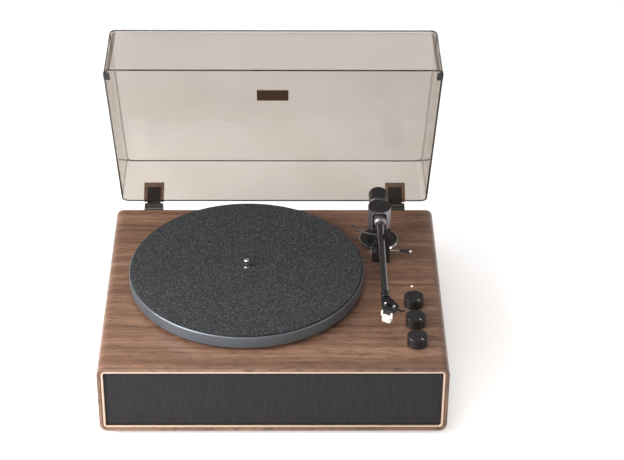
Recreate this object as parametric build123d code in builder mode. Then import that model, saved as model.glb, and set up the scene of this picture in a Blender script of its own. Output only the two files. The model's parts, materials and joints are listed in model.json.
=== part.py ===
import math
import os

from build123d import *

# A record player with a wrapped wooden cabinet, a belt-driven platter, a straight tonearm, three knobs
# and a hinged smoked cover, which stands open here.
# Millimetres. X runs to the right, Y to the back and Z up. The origin is the centre of the cabinet's
# underside, so the feet reach below zero.

# Clearances
running = 0.05  # radial, a shaft in its bore
glued = 0.15  # round each piece that is let into another
moving = 0.3  # between faces that pass each other

# Cabinet
cabinet_width = 428
cabinet_depth = 351
cabinet_height = 96
cabinet_corner = 10
board = 12
front_rim = 4.2
front_rebate = 16
rear_rim = 6
rear_panel_thickness = 6
trim_width = 3.4
trim_setback = 1
grille_setback = 4
grille_cloth = 1
baffle_thickness = 9
plate_width = 300
plate_depth = 190
plate_thickness = 3
plate_ledge = 12

# Feet
foot_radius = 17
foot_height = 6
foot_inset_x = 34
foot_inset_y = 30

# Cabinet screws, all of one kind
screw_head_radius = 2.8
screw_head = 2
screw_radius = 1.5
screw_length = 11
arm_screw_length = 14
panel_screw_x = 60
bracket_screw_dx = 8
bracket_screw_rise = 8
foot_floor = 2.5  # rubber under each foot's screw head

# Speakers
speaker_x = 140
speaker_flange_radius = 34
speaker_hole_radius = 28.5
speaker_flange = 2.5
speaker_depth = 26
speaker_wall = 1.2
speaker_pocket_radius = 36
magnet_radius = 22
magnet_height = 12
speaker_screw_circle = 31
surround_width = 5.7
cone_neck = 8
cone_paper = 0.8

# Sockets and boards at the back
socket_z = 40
socket_body_depth = 16  # behind the rear panel's outer face
line_out_xs = (100, 118)
line_out_radius = 4.15
line_out_flange = 6
line_out_length = 9
line_out_bore = 1.6
aux_x = 76
aux_radius = 3
aux_nut_radius = 4
aux_nut = 2.5
aux_bore = 1.8
aux_depth = 12
power_x = 142
power_width = 9
power_height = 11
power_depth = 15
power_bore = 2.85
power_pin = 1
power_bore_depth = 9
amplifier_x = 115
amplifier_width = 110
amplifier_depth = 56
standoff = 6
circuit_board = 1.6

# Platter and drive
platter_x = -35
platter_y = 10.4
platter_radius = 150
platter_gap = 4
platter_rim_height = 16.25
platter_wall = 5
platter_hub_radius = 14
platter_edge = 1
finger_hole_radius = 9
spindle_flange_radius = 9
mat_radius = 147.5
mat_thickness = 2
record_thickness = 2
record_pin_radius = 3.575
record_pin_height = 9  # straight length above the mat, under a rounded end
journal_radius = 4
drive_ring_radius = 67
drive_ring_wall = 3
pulley_radius = 4
pulley_flange_radius = 5.6
pulley_dx = -74
pulley_dy = 74.2
belt_height = 5
belt_thickness = 0.8
ball_radius = 2.5
bush_radius = 8
bush_flange_radius = 17
bush_flange = 2
bush_length = 30
bush_floor = 3
motor_radius = 17.5
motor_height = 22
motor_drop = 4
motor_plate = 2
motor_plate_radius = 30
motor_screw_circle = 24
motor_shaft_radius = 1
motor_hole_radius = 8

# Knobs and lamp
knob_radius = 12.5
knob_height = 13.5
knob_x = 176.7
knob_ys = (-43, -84, -124.6)
knob_stem_radius = 3
knob_wall = 2.5
knob_hollow = 2.9
knob_edge = 0.5
index_angle = -56
pot_radius = 8.5
pot_height = 10
pot_pocket = 8
pot_pocket_radius = 14
bushing_radius = 4.4
lamp_y = -2.9
lamp_radius = 1.5

# Dust cover, sized as it lies when closed
cover_width = 413.4
cover_depth = 328.5
cover_height = 62.4
cover_draft = 4.84  # how far each wall leans in, over the height
cover_wall = 3
cover_corner = 9
cover_gap = 1.5  # from the cabinet's top to the cover's free edge
cover_open = 61.9
badge_width = 41
badge_depth = 24
badge_x = -2
badge_y = -180
bumper_length = 15
bumper_width = 7.5

# Hinges
hinge_x = 164
hinge_behind = 10.1  # from the cabinet's back to the axis
hinge_below = 3.8  # from the cabinet's top to the axis
knuckle_radius = 7
knuckle_width = 18.2
hinge_pin_radius = 2.5
ear_thickness = 3
bracket_thickness = 2.5
bracket_drop = 32
blade_thickness = 3
blade_length = 29
blade_half = 9
blade_y = -5.5
socket_width = 27
socket_depth = 8
socket_height = 25
socket_start = 3

# Tonearm
pivot_x = 138
pivot_y = 101
tube_radius = 4.4
tube_bore = 3.6
stylus_reach = 214.5  # from the pivot to the stylus
head_angle = 30
stylus_height = 17.35  # from the headshell's underside to the tip
arm_base_radius = 26.5
arm_ring_width = 2.2
arm_base_height = 3.5
arm_screw_circle = 19
housing_radius = 15
housing_wall = 3
housing_height = 31.4
housing_notch = 18
housing_lift = 22.8  # from the cabinet's top to the housing's underside
cap_thickness = 1.2
swing_shaft_radius = 4
cross_pin_radius = 1.5
collar_radius = 7.5
collar_front = 24.5
collar_back = 8
stub_radius = 3.5
stub_end = 53
tube_end = 186
sleeve_radius = 5.5
dial_start = 21
dial_end = 27.8
weight_start = 28.1
weight_end = 48
weight_radius = 12.5
cartridge_screw_spacing = 12.7
head_plate = 3.2
neck_radius = 5.3
neck_start = 178
neck_end = 189
cartridge_height = 7.2
stylus_ahead = 9  # from the cartridge's screws to the stylus

# Arm rest and cue lift
lift_arc_radius = 40
lift_rod_radius = 1.2
lift_post_radius = 2
lift_post_x = 133.8
lift_travel = 1.8
block_width = 19
block_depth = 21.8
block_height = 16
block_offset = 3.7  # from the lift's post to the block's middle
turret_radius = 4
turret_height = 12
cue_height = 11.5  # above the cabinet's top
cue_rod_radius = 1.1
cue_bend_x = 162.5
cue_tip = (15.9, -8.4, 4.5)  # from the bend
cam_radius = 2.4
cam_throw = 1.4
cam_start = -40
rest_y = 53
rest_post_x = 147.8
rest_post_width = 4.4
rest_post_depth = 7
rest_post_rise = 47.2  # above the cabinet's top
rest_tang = 6
lock_width = 4.6
lock_reach = 17.5

# Places worked out from the sizes
half_width = cabinet_width / 2
half_depth = cabinet_depth / 2
top = cabinet_height
platter_bottom = top + platter_gap
platter_top = platter_bottom + platter_rim_height
mat_top = platter_top + mat_thickness
record_top = mat_top + record_thickness
head_underside = record_top + stylus_height
tube_z = head_underside + 0.9
tube_under = tube_z - tube_radius
ride_z = tube_under - moving  # what passes under the tube stops here
pulley_x = platter_x + pulley_dx
pulley_y = platter_y + pulley_dy
hinge_y = half_depth + hinge_behind
hinge_z = top - hinge_below
lift_post_y = pivot_y - math.sqrt(lift_arc_radius**2 - (pivot_x - lift_post_x) ** 2)
cue_z = top + cue_height

front_plane = Plane.XZ.offset(half_depth)
back_plane = Plane.XZ.offset(-half_depth)
top_plane = Plane.XY.offset(top)

# The cover's own frame sits on the hinge axis and turns back with the cover as it opens
lean = math.radians(cover_open)
cover_normal = (0, math.sin(lean), math.cos(lean))
cover_frame = Plane(origin=(0, hinge_y, hinge_z), x_dir=(1, 0, 0), z_dir=cover_normal)
cover_edge = hinge_below + cover_gap
cover_centre = -hinge_behind - cover_depth / 2
cover_up = Axis(cover_frame.origin, cover_frame.z_dir)
head_turn = math.radians(head_angle)
head_x = pivot_x + stylus_ahead * math.sin(head_turn)
head_y = pivot_y - stylus_reach + stylus_ahead * math.cos(head_turn)
head_right = (math.cos(head_turn), -math.sin(head_turn), 0)
head_forward = (-math.sin(head_turn), -math.cos(head_turn), 0)
arm_line = Plane(origin=(pivot_x, pivot_y, tube_z), x_dir=(1, 0, 0), z_dir=(0, 0, -1))

pieces = {}


def upright(x, y):
    """A plane that stands on (x, y), for outlines of radius and height that turn about Z."""
    return Plane(origin=(x, y, 0), x_dir=(1, 0, 0), z_dir=(0, -1, 0))


def head_plane(depth):
    """A plane below the headshell's underside, looking down, with X across it and Y forward."""
    return Plane(origin=(head_x, head_y, head_underside - depth), x_dir=head_right, z_dir=(0, 0, -1))


def head_spot(across, forward):
    """A place on the headshell, from the middle of its two screws."""
    x = head_x + across * head_right[0] + forward * head_forward[0]
    y = head_y + across * head_right[1] + forward * head_forward[1]
    return (x, y)


def turned(outline, plane):
    """A closed outline of radius and height, turned about the plane's own Y axis."""
    with BuildPart() as body:
        with BuildSketch(plane):
            with BuildLine():
                Polyline(*outline, close=True)
            make_face()
        revolve(axis=Axis(plane.origin, plane.y_dir))
    return body.part


def ring(outer, inner, low, high, x, y):
    """An upright tube from one height to another."""
    return turned([(inner, low), (outer, low), (outer, high), (inner, high)], upright(x, y))


def round_places(x, y, radius, angles):
    """The places at the given angles on a circle."""
    return [
        (x + radius * math.cos(math.radians(angle)), y + radius * math.sin(math.radians(angle)))
        for angle in angles
    ]


def screw_set(places, slack=0):
    """Pan head screws, each given by where its head bears, the way it points and its length."""
    solids = []
    for point, direction, length in places:
        seat = Plane(origin=point, z_dir=direction)
        with BuildPart() as one:
            with BuildSketch(seat.offset(-screw_head)):
                Circle(screw_head_radius + slack)
            extrude(amount=screw_head)
            with BuildSketch(seat):
                Circle(screw_radius + slack)
            extrude(amount=length)
        solids.append(one.part)
    return solids


# Where the screws go
up = (0, 0, 1)
foot_spots = [
    (sx * (half_width - foot_inset_x), sy * (half_depth - foot_inset_y))
    for sx in (-1, 1)
    for sy in (-1, 1)
]
plate_spots = [
    (sx * (plate_width - plate_ledge) / 2, sy * (plate_depth - plate_ledge) / 2)
    for sx in (-1, 0, 1)
    for sy in (-1, 1)
]
panel_inset = (rear_rim + board) / 2
panel_spots = [
    (x, z)
    for x in (-half_width + panel_inset, -panel_screw_x, panel_screw_x, half_width - panel_inset)
    for z in (panel_inset, top - panel_inset)
]
bracket_spots = [
    (sx * hinge_x + dx, top - bracket_drop + bracket_screw_rise)
    for sx in (-1, 1)
    for dx in (-bracket_screw_dx, bracket_screw_dx)
]
motor_spots = round_places(pulley_x, pulley_y, motor_screw_circle, (90, 210, 330))
arm_spots = round_places(pivot_x, pivot_y, arm_screw_circle, (30, 150, 270))
speaker_spots = [
    spot
    for sx in (-1, 1)
    for spot in round_places(sx * speaker_x, top / 2, speaker_screw_circle, (45, 135, 225, 315))
]
baffle_front = -half_depth + front_rebate
flange_front = baffle_front - speaker_flange
panel_inside = half_depth - rear_panel_thickness
bracket_back = half_depth + bracket_thickness
motor_plate_top = top - board - motor_drop
motor_plate_under = motor_plate_top - motor_plate
foot_screws = [((x, y, -foot_floor), up, screw_length) for x, y in foot_spots]
plate_screws = [((x, y, screw_head), up, screw_length - screw_head) for x, y in plate_spots]  # heads flush
panel_screws = [((x, half_depth, z), (0, -1, 0), screw_length) for x, z in panel_spots]
bracket_screws = [((x, bracket_back, z), (0, -1, 0), screw_length) for x, z in bracket_spots]
motor_screws = [((x, y, motor_plate_under), up, screw_length) for x, y in motor_spots]
arm_screws = [((x, y, top - board), up, arm_screw_length) for x, y in arm_spots]
speaker_screws = [((x, flange_front, z), (0, 1, 0), screw_length) for x, z in speaker_spots]

# Cabinet: a wrapped section with the corners rounded, open at the front and the back
with BuildPart() as cabinet:
    with BuildSketch(front_plane):
        with Locations((0, top / 2)):
            RectangleRounded(cabinet_width, top, cabinet_corner)
            Rectangle(cabinet_width - 2 * board, top - 2 * board, mode=Mode.SUBTRACT)
    extrude(amount=-cabinet_depth)
    with BuildSketch(front_plane):
        with Locations((0, top / 2)):
            RectangleRounded(
                cabinet_width - 2 * front_rim, top - 2 * front_rim, cabinet_corner - front_rim
            )
    extrude(amount=-front_rebate, mode=Mode.SUBTRACT)
    with BuildSketch(back_plane):
        with Locations((0, top / 2)):
            RectangleRounded(
                cabinet_width - 2 * rear_rim, top - 2 * rear_rim, cabinet_corner - rear_rim
            )
    extrude(amount=rear_panel_thickness, mode=Mode.SUBTRACT)
    # The service opening, with a rebate for its plate
    with BuildSketch():
        Rectangle(plate_width, plate_depth)
    extrude(amount=plate_thickness, mode=Mode.SUBTRACT)
    with BuildSketch():
        Rectangle(plate_width - 2 * plate_ledge, plate_depth - 2 * plate_ledge)
    extrude(amount=board, mode=Mode.SUBTRACT)
    # Holes through the top for the bearing, the motor's shaft, the knobs' bushings and the lamp
    with BuildSketch(top_plane):
        with Locations((platter_x, platter_y)):
            Circle(bush_radius + glued)
        with Locations((pulley_x, pulley_y)):
            Circle(motor_hole_radius)
        with Locations([(knob_x, y) for y in knob_ys]):
            Circle(bushing_radius + glued)
        with Locations((knob_x, lamp_y)):
            Circle(lamp_radius + running)
    extrude(amount=-board, mode=Mode.SUBTRACT)
    with BuildSketch(top_plane.offset(-board)):
        with Locations([(knob_x, y) for y in knob_ys]):
            Circle(pot_pocket_radius)
    extrude(amount=pot_pocket, mode=Mode.SUBTRACT)
    # The slot for the arm rest's tang
    with BuildSketch(top_plane):
        with Locations((rest_post_x, rest_y)):
            Rectangle(rest_post_width + 2 * glued, rest_post_depth + 2 * glued)
    extrude(amount=-rest_tang, mode=Mode.SUBTRACT)
    fillet(cabinet.edges().group_by(Axis.Y)[0], 0.6)
    add(
        screw_set(foot_screws + plate_screws + panel_screws + motor_screws + arm_screws, running),
        mode=Mode.SUBTRACT,
    )
pieces["cabinet"] = cabinet.part

# Front: a metal trim frame in the rebate and a cloth panel inside it
trim_outer = (cabinet_width - 2 * (front_rim + glued), top - 2 * (front_rim + glued))
trim_corner = cabinet_corner - front_rim - glued
with BuildPart() as trim_frame:
    with BuildSketch(front_plane.offset(-trim_setback)):
        with Locations((0, top / 2)):
            RectangleRounded(*trim_outer, trim_corner)
            RectangleRounded(
                trim_outer[0] - 2 * trim_width,
                trim_outer[1] - 2 * trim_width,
                trim_corner - trim_width,
                mode=Mode.SUBTRACT,
            )
    extrude(amount=trim_setback - front_rebate)
    chamfer(trim_frame.edges().group_by(Axis.Y)[0], 0.7)
pieces["trim_frame"] = trim_frame.part

grille_thickness = front_rebate - grille_setback
grille_inset = trim_width + glued
with BuildPart() as grille_panel:
    with BuildSketch(front_plane.offset(-grille_setback)):
        with Locations((0, top / 2)):
            RectangleRounded(
                trim_outer[0] - 2 * grille_inset,
                trim_outer[1] - 2 * grille_inset,
                trim_corner - grille_inset,
            )
    extrude(amount=-grille_thickness)
    fillet(grille_panel.edges().group_by(Axis.Y)[0], 0.6)
    with BuildSketch(Plane.XZ.offset(-baffle_front)):
        with Locations((-speaker_x, top / 2), (speaker_x, top / 2)):
            Circle(speaker_pocket_radius)
    extrude(amount=grille_thickness - grille_cloth, mode=Mode.SUBTRACT)
pieces["grille_panel"] = grille_panel.part

with BuildPart() as speaker_baffle:
    with BuildSketch(Plane.XZ.offset(-baffle_front)):
        with Locations((0, top / 2)):
            Rectangle(cabinet_width - 2 * (board + glued), top - 2 * (board + glued))
        with Locations((-speaker_x, top / 2), (speaker_x, top / 2)):
            Circle(speaker_hole_radius, mode=Mode.SUBTRACT)
    extrude(amount=-baffle_thickness)
    add(screw_set(speaker_screws, running), mode=Mode.SUBTRACT)
pieces["speaker_baffle"] = speaker_baffle.part

# Speakers, turned about a line along Y, with depths from the flange's front
basket_radius = speaker_hole_radius - moving
basket_back = speaker_depth - speaker_wall
basket = [
    (basket_radius - 2 * speaker_wall, 0),
    (speaker_flange_radius, 0),
    (speaker_flange_radius, speaker_flange),
    (basket_radius, speaker_flange),
    (basket_radius, speaker_depth / 2),
    (magnet_radius - 3, speaker_depth),
    (cone_neck + 3, speaker_depth),
    (cone_neck + 3, basket_back),
    (magnet_radius - 3.7, basket_back),
    (basket_radius - speaker_wall, speaker_depth / 2 - 0.4),
    (basket_radius - speaker_wall, speaker_wall),
    (basket_radius - 2 * speaker_wall, speaker_wall),
]
cone_edge = basket_radius - speaker_wall - moving
cone_rim = cone_edge - surround_width
cone_front = 2.4
cone = [
    (0, cone_front + 6.6),
    (cone_neck, cone_front + 9.1),
    (cone_rim, cone_front + 1),
    (cone_edge, cone_front),
    (cone_edge, cone_front + cone_paper),
    (cone_rim, cone_front + 1.2 + cone_paper),
    (cone_neck, cone_front + 9.5 + cone_paper),
    (cone_neck, basket_back - 0.8),
    (cone_neck - 1, basket_back - 0.8),
    (cone_neck - 1, cone_front + 9 + cone_paper),
    (0, cone_front + 7 + cone_paper),
]
magnet = [
    (0, speaker_depth),
    (magnet_radius, speaker_depth),
    (magnet_radius, speaker_depth + magnet_height),
    (0, speaker_depth + magnet_height),
]
speaker_outlines = {"speaker_frames": basket, "speaker_cones": cone, "speaker_magnets": magnet}
for name, outline in speaker_outlines.items():
    with BuildPart() as speaker_piece:
        for sx in (-1, 1):
            flange_plane = Plane(origin=(sx * speaker_x, flange_front, top / 2), x_dir=(1, 0, 0), z_dir=up)
            add(turned(outline, flange_plane))
        if name == "speaker_frames":
            add(screw_set(speaker_screws, running), mode=Mode.SUBTRACT)
    pieces[name] = speaker_piece.part

# Rear panel with its sockets
with BuildPart() as rear_panel:
    with BuildSketch(back_plane):
        with Locations((0, top / 2)):
            RectangleRounded(
                cabinet_width - 2 * (rear_rim + glued),
                top - 2 * (rear_rim + glued),
                cabinet_corner - rear_rim - glued,
            )
        with Locations([(x, socket_z) for x in line_out_xs]):
            Circle(line_out_radius + glued, mode=Mode.SUBTRACT)
        with Locations((aux_x, socket_z)):
            Circle(aux_radius + glued, mode=Mode.SUBTRACT)
        with Locations((power_x, socket_z)):
            Rectangle(power_width + 2 * glued, power_height + 2 * glued, mode=Mode.SUBTRACT)
    extrude(amount=rear_panel_thickness)
    add(screw_set(panel_screws + bracket_screws, running), mode=Mode.SUBTRACT)
pieces["rear_panel"] = rear_panel.part

# Each line socket has a body inside, a barrel through the panel and a flange outside
with BuildPart() as line_out_sockets:
    for x in line_out_xs:
        socket_plane = Plane(origin=(x, half_depth, socket_z), x_dir=(1, 0, 0), z_dir=up)
        add(
            turned(
                [
                    (0, -socket_body_depth),
                    (line_out_flange, -socket_body_depth),
                    (line_out_flange, -rear_panel_thickness),
                    (line_out_radius, -rear_panel_thickness),
                    (line_out_radius, 0),
                    (line_out_flange, 0),
                    (line_out_flange, 1.5),
                    (line_out_radius, 1.5),
                    (line_out_radius, line_out_length),
                    (line_out_bore, line_out_length),
                    (line_out_bore, 0),
                    (0, 0),
                ],
                socket_plane,
            )
        )
pieces["line_out_sockets"] = line_out_sockets.part

with BuildPart() as aux_socket:
    aux_plane = Plane(origin=(aux_x, half_depth, socket_z), x_dir=(1, 0, 0), z_dir=up)
    add(
        turned(
            [
                (0, -socket_body_depth),
                (aux_nut_radius, -socket_body_depth),
                (aux_nut_radius, -rear_panel_thickness),
                (aux_radius, -rear_panel_thickness),
                (aux_radius, 0),
                (aux_nut_radius, 0),
                (aux_nut_radius, aux_nut),
                (aux_bore, aux_nut),
                (aux_bore, aux_nut - aux_depth),
                (0, aux_nut - aux_depth),
            ],
            aux_plane,
        )
    )
pieces["aux_socket"] = aux_socket.part

with BuildPart() as power_socket:
    with BuildSketch(back_plane.offset(-1)):
        with Locations((power_x, socket_z)):
            Rectangle(power_width, power_height)
    extrude(amount=power_depth)
    with BuildSketch(back_plane.offset(-1)):
        with Locations((power_x, socket_z)):
            Circle(power_bore)
            Circle(power_pin, mode=Mode.SUBTRACT)
    extrude(amount=power_bore_depth, mode=Mode.SUBTRACT)
pieces["power_socket"] = power_socket.part

# Amplifier board on four standoffs, with what it carries
board_centre = (amplifier_x, panel_inside - socket_body_depth - amplifier_depth / 2 + 10)
with BuildPart() as amplifier_board:
    with BuildSketch(Plane.XY.offset(board + standoff)):
        with Locations(board_centre):
            Rectangle(amplifier_width, amplifier_depth)
    extrude(amount=circuit_board)
    with BuildSketch(Plane.XY.offset(board)):
        with Locations(board_centre):
            with GridLocations(amplifier_width - 10, amplifier_depth - 10, 2, 2):
                Circle(3)
    extrude(amount=standoff)
    with BuildSketch(Plane.XY.offset(board + standoff + circuit_board)):
        with Locations(board_centre):
            with GridLocations(15, 0, 2, 1):
                with Locations((-40, -12)):
                    Circle(5)
    extrude(amount=15)
    with BuildSketch(Plane.XY.offset(board + standoff + circuit_board)):
        with Locations(board_centre):
            with Locations((0, -16)):
                Rectangle(36, 10)
            with Locations((38, -6)):
                Rectangle(20, 18)
    extrude(amount=12)
pieces["amplifier_board"] = amplifier_board.part

# Control board under the knobs, which hang from the top by the nuts on their bushings
pot_top = top - board + pot_pocket
pot_bottom = pot_top - pot_height
control_length = lamp_y - knob_ys[2] + 26
with BuildPart() as control_board:
    with BuildSketch(Plane.XY.offset(pot_bottom)):
        with Locations((knob_x, (lamp_y + knob_ys[2]) / 2)):
            Rectangle(24, control_length)
    extrude(amount=-circuit_board)
pieces["control_board"] = control_board.part

stem_end = pot_bottom + 2.3
with BuildPart() as potentiometers:
    for y in knob_ys:
        add(
            turned(
                [
                    (0, pot_bottom),
                    (pot_radius, pot_bottom),
                    (pot_radius, pot_top),
                    (bushing_radius, pot_top),
                    (bushing_radius, top + 2),
                    (knob_stem_radius + running, top + 2),
                    (knob_stem_radius + running, stem_end - moving),
                    (0, stem_end - moving),
                ],
                upright(knob_x, y),
            )
        )
pieces["potentiometers"] = potentiometers.part

with BuildPart() as power_led:
    with BuildSketch(Plane.XY.offset(pot_bottom)):
        with Locations((knob_x, lamp_y)):
            Circle(lamp_radius)
    extrude(amount=top + 1 - pot_bottom)
    fillet(power_led.edges().group_by(Axis.Z)[-1], lamp_radius * 0.8)
pieces["power_led"] = power_led.part

# Knobs, each with its own stem and a short index groove
knob_top = top + knob_height
knob_low = top + 0.6
knob_names = ("volume_knob", "mode_knob", "speed_knob")
for name, y in zip(knob_names, knob_ys):
    with BuildPart() as knob:
        add(
            turned(
                [
                    (0, stem_end),
                    (knob_stem_radius, stem_end),
                    (knob_stem_radius, knob_low + knob_hollow),
                    (knob_radius - knob_wall, knob_low + knob_hollow),
                    (knob_radius - knob_wall, knob_low),
                    (knob_radius, knob_low),
                    (knob_radius, knob_top - knob_edge),
                    (knob_radius - knob_edge, knob_top),
                    (0, knob_top),
                ],
                upright(knob_x, y),
            )
        )
        with BuildSketch(Plane.XY.offset(knob_top)):
            with Locations((knob_x, y)):
                with PolarLocations(knob_radius - 2.75, 1, start_angle=index_angle):
                    Rectangle(3.5, 0.9)
        extrude(amount=-0.3, mode=Mode.SUBTRACT)
    pieces[name] = knob.part

# Feet, service plate and the screws
with BuildPart() as feet:
    with BuildSketch():
        with Locations(foot_spots):
            Circle(foot_radius)
    extrude(amount=-foot_height)
    fillet(feet.edges().group_by(Axis.Z)[0], 1)
    with BuildSketch(Plane.XY.offset(-foot_height)):
        with Locations(foot_spots):
            Circle(screw_head_radius + 1.5)
    extrude(amount=foot_height - foot_floor, mode=Mode.SUBTRACT)
    add(screw_set(foot_screws, running), mode=Mode.SUBTRACT)
pieces["feet"] = feet.part

with BuildPart() as service_plate:
    with BuildSketch():
        Rectangle(plate_width - 2 * glued, plate_depth - 2 * glued)
    extrude(amount=plate_thickness)
    add(screw_set(plate_screws, running), mode=Mode.SUBTRACT)
pieces["service_plate"] = service_plate.part

with BuildPart() as cabinet_screws:
    add(screw_set(foot_screws + plate_screws + panel_screws + bracket_screws))
    add(screw_set(motor_screws + arm_screws + speaker_screws))
pieces["cabinet_screws"] = cabinet_screws.part

# Motor, hung from the top on rubber rings
with BuildPart() as motor:
    motor_low = motor_plate_under - motor_height
    add(
        turned(
            [
                (0, motor_low),
                (motor_radius, motor_low),
                (motor_radius, motor_plate_under),
                (motor_shaft_radius + running, motor_plate_under),
                (motor_shaft_radius + running, motor_low + 2),
                (0, motor_low + 2),
            ],
            upright(pulley_x, pulley_y),
        )
    )
pieces["motor"] = motor.part

with BuildPart() as motor_bracket:
    with BuildSketch(Plane.XY.offset(motor_plate_under)):
        with Locations((pulley_x, pulley_y)):
            Circle(motor_plate_radius)
            Circle(3, mode=Mode.SUBTRACT)
    extrude(amount=motor_plate)
    add(screw_set(motor_screws, running), mode=Mode.SUBTRACT)
pieces["motor_bracket"] = motor_bracket.part

with BuildPart() as motor_isolators:
    with BuildSketch(Plane.XY.offset(motor_plate_top)):
        with Locations(motor_spots):
            Circle(5)
            Circle(screw_radius + moving, mode=Mode.SUBTRACT)
    extrude(amount=motor_drop)
pieces["motor_isolators"] = motor_isolators.part

# Bearing, thrust ball and spindle
bush_low = top - bush_length
bore_low = bush_low + bush_floor
with BuildPart() as bearing_bush:
    add(
        turned(
            [
                (0, bush_low),
                (bush_radius, bush_low),
                (bush_radius, top),
                (bush_flange_radius, top),
                (bush_flange_radius, top + bush_flange),
                (journal_radius + running, top + bush_flange),
                (journal_radius + running, bore_low),
                (0, bore_low),
            ],
            upright(platter_x, platter_y),
        )
    )
pieces["bearing_bush"] = bearing_bush.part

with BuildPart() as thrust_ball:
    with Locations((platter_x, platter_y, bore_low + ball_radius)):
        Sphere(ball_radius)
pieces["thrust_ball"] = thrust_ball.part

hub_low = platter_bottom + 1
with BuildPart() as spindle:
    add(
        turned(
            [
                (0, bore_low + 2 * ball_radius + 0.1),
                (journal_radius, bore_low + 2 * ball_radius + 0.1),
                (journal_radius, top + bush_flange + 0.6),
                (spindle_flange_radius, top + bush_flange + 0.6),
                (spindle_flange_radius, hub_low),
                (journal_radius, hub_low),
                (journal_radius, mat_top),
                (record_pin_radius, mat_top),
                (record_pin_radius, mat_top + record_pin_height + 2),
                (0, mat_top + record_pin_height + 2),
            ],
            upright(platter_x, platter_y),
        )
    )
    fillet(spindle.edges().group_by(Axis.Z)[-1], 2)
pieces["spindle"] = spindle.part

# Platter: a cast disc with a rim, a ring inside for the belt and two holes to reach the belt through
plate_under = platter_top - platter_wall
with BuildPart() as platter:
    add(
        turned(
            [
                (journal_radius, hub_low),
                (platter_hub_radius, hub_low),
                (platter_hub_radius, plate_under),
                (drive_ring_radius - drive_ring_wall, plate_under),
                (drive_ring_radius - drive_ring_wall, hub_low),
                (drive_ring_radius, hub_low),
                (drive_ring_radius, plate_under),
                (platter_radius - platter_wall, plate_under),
                (platter_radius - platter_wall, platter_bottom),
                (platter_radius - platter_edge, platter_bottom),
                (platter_radius, platter_bottom + platter_edge),
                (platter_radius, platter_top - platter_edge),
                (platter_radius - platter_edge, platter_top),
                (journal_radius, platter_top),
            ],
            upright(platter_x, platter_y),
        )
    )
    with BuildSketch(Plane.XY.offset(plate_under)):
        with Locations((platter_x, platter_y)):
            with PolarLocations((drive_ring_radius + platter_radius) / 2 - 6, 2):
                Circle(finger_hole_radius)
    extrude(amount=platter_wall, mode=Mode.SUBTRACT)
pieces["platter"] = platter.part

with BuildPart() as platter_mat:
    add(ring(mat_radius, journal_radius + 0.1, platter_top, mat_top, platter_x, platter_y))
    fillet(platter_mat.edges().group_by(Axis.Z)[-1].sort_by(SortBy.LENGTH)[-1], 0.7)
pieces["platter_mat"] = platter_mat.part

# Drive pulley on the motor's shaft, and the flat belt round it and the platter's ring
pulley_low = hub_low
pulley_high = plate_under - moving
pulley_flange = 1.5
with BuildPart() as drive_pulley:
    add(
        turned(
            [
                (0, motor_low + 2 + moving),
                (motor_shaft_radius, motor_low + 2 + moving),
                (motor_shaft_radius, pulley_low),
                (pulley_flange_radius, pulley_low),
                (pulley_flange_radius, pulley_low + pulley_flange),
                (pulley_radius, pulley_low + pulley_flange),
                (pulley_radius, pulley_high - pulley_flange),
                (pulley_flange_radius, pulley_high - pulley_flange),
                (pulley_flange_radius, pulley_high),
                (0, pulley_high),
            ],
            upright(pulley_x, pulley_y),
        )
    )
pieces["drive_pulley"] = drive_pulley.part

with BuildPart() as drive_belt:
    for growth, mode in ((moving + belt_thickness, Mode.ADD), (moving, Mode.SUBTRACT)):
        with BuildSketch(Plane.XY.offset((pulley_low + pulley_high - belt_height) / 2)) as loop:
            with Locations((platter_x, platter_y)):
                Circle(drive_ring_radius + growth)
            with Locations((pulley_x, pulley_y)):
                Circle(pulley_radius + growth)
            make_hull(loop.edges())
        extrude(amount=belt_height, mode=mode)
pieces["drive_belt"] = drive_belt.part

# Tonearm base, with a chrome ring round its foot
base_inner = arm_base_radius - arm_ring_width
swing_low = top + 2.4
swing_high = top + housing_lift + housing_wall
base_top = top + housing_lift - 0.6
with BuildPart() as arm_base:
    add(
        turned(
            [
                (0, top),
                (base_inner, top),
                (base_inner, top + arm_base_height - 0.3),
                (housing_radius + 1, top + arm_base_height + 0.4),
                (housing_radius - 0.5, base_top),
                (swing_shaft_radius + running, base_top),
                (swing_shaft_radius + running, swing_low - 0.4),
                (0, swing_low - 0.4),
            ],
            upright(pivot_x, pivot_y),
        )
    )
    add(screw_set(arm_screws, running), mode=Mode.SUBTRACT)
pieces["arm_base"] = arm_base.part

with BuildPart() as arm_base_ring:
    ring_inner = base_inner + running
    add(
        turned(
            [
                (ring_inner, top),
                (arm_base_radius, top),
                (arm_base_radius, top + arm_base_height - 0.9),
                (arm_base_radius - 0.9, top + arm_base_height + 0.9),
                (ring_inner, top + arm_base_height + 0.9),
            ],
            upright(pivot_x, pivot_y),
        )
    )
pieces["arm_base_ring"] = arm_base_ring.part

with BuildPart() as swing_shaft:
    add(ring(swing_shaft_radius, 0, swing_low, swing_high, pivot_x, pivot_y))
pieces["swing_shaft"] = swing_shaft.part

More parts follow.
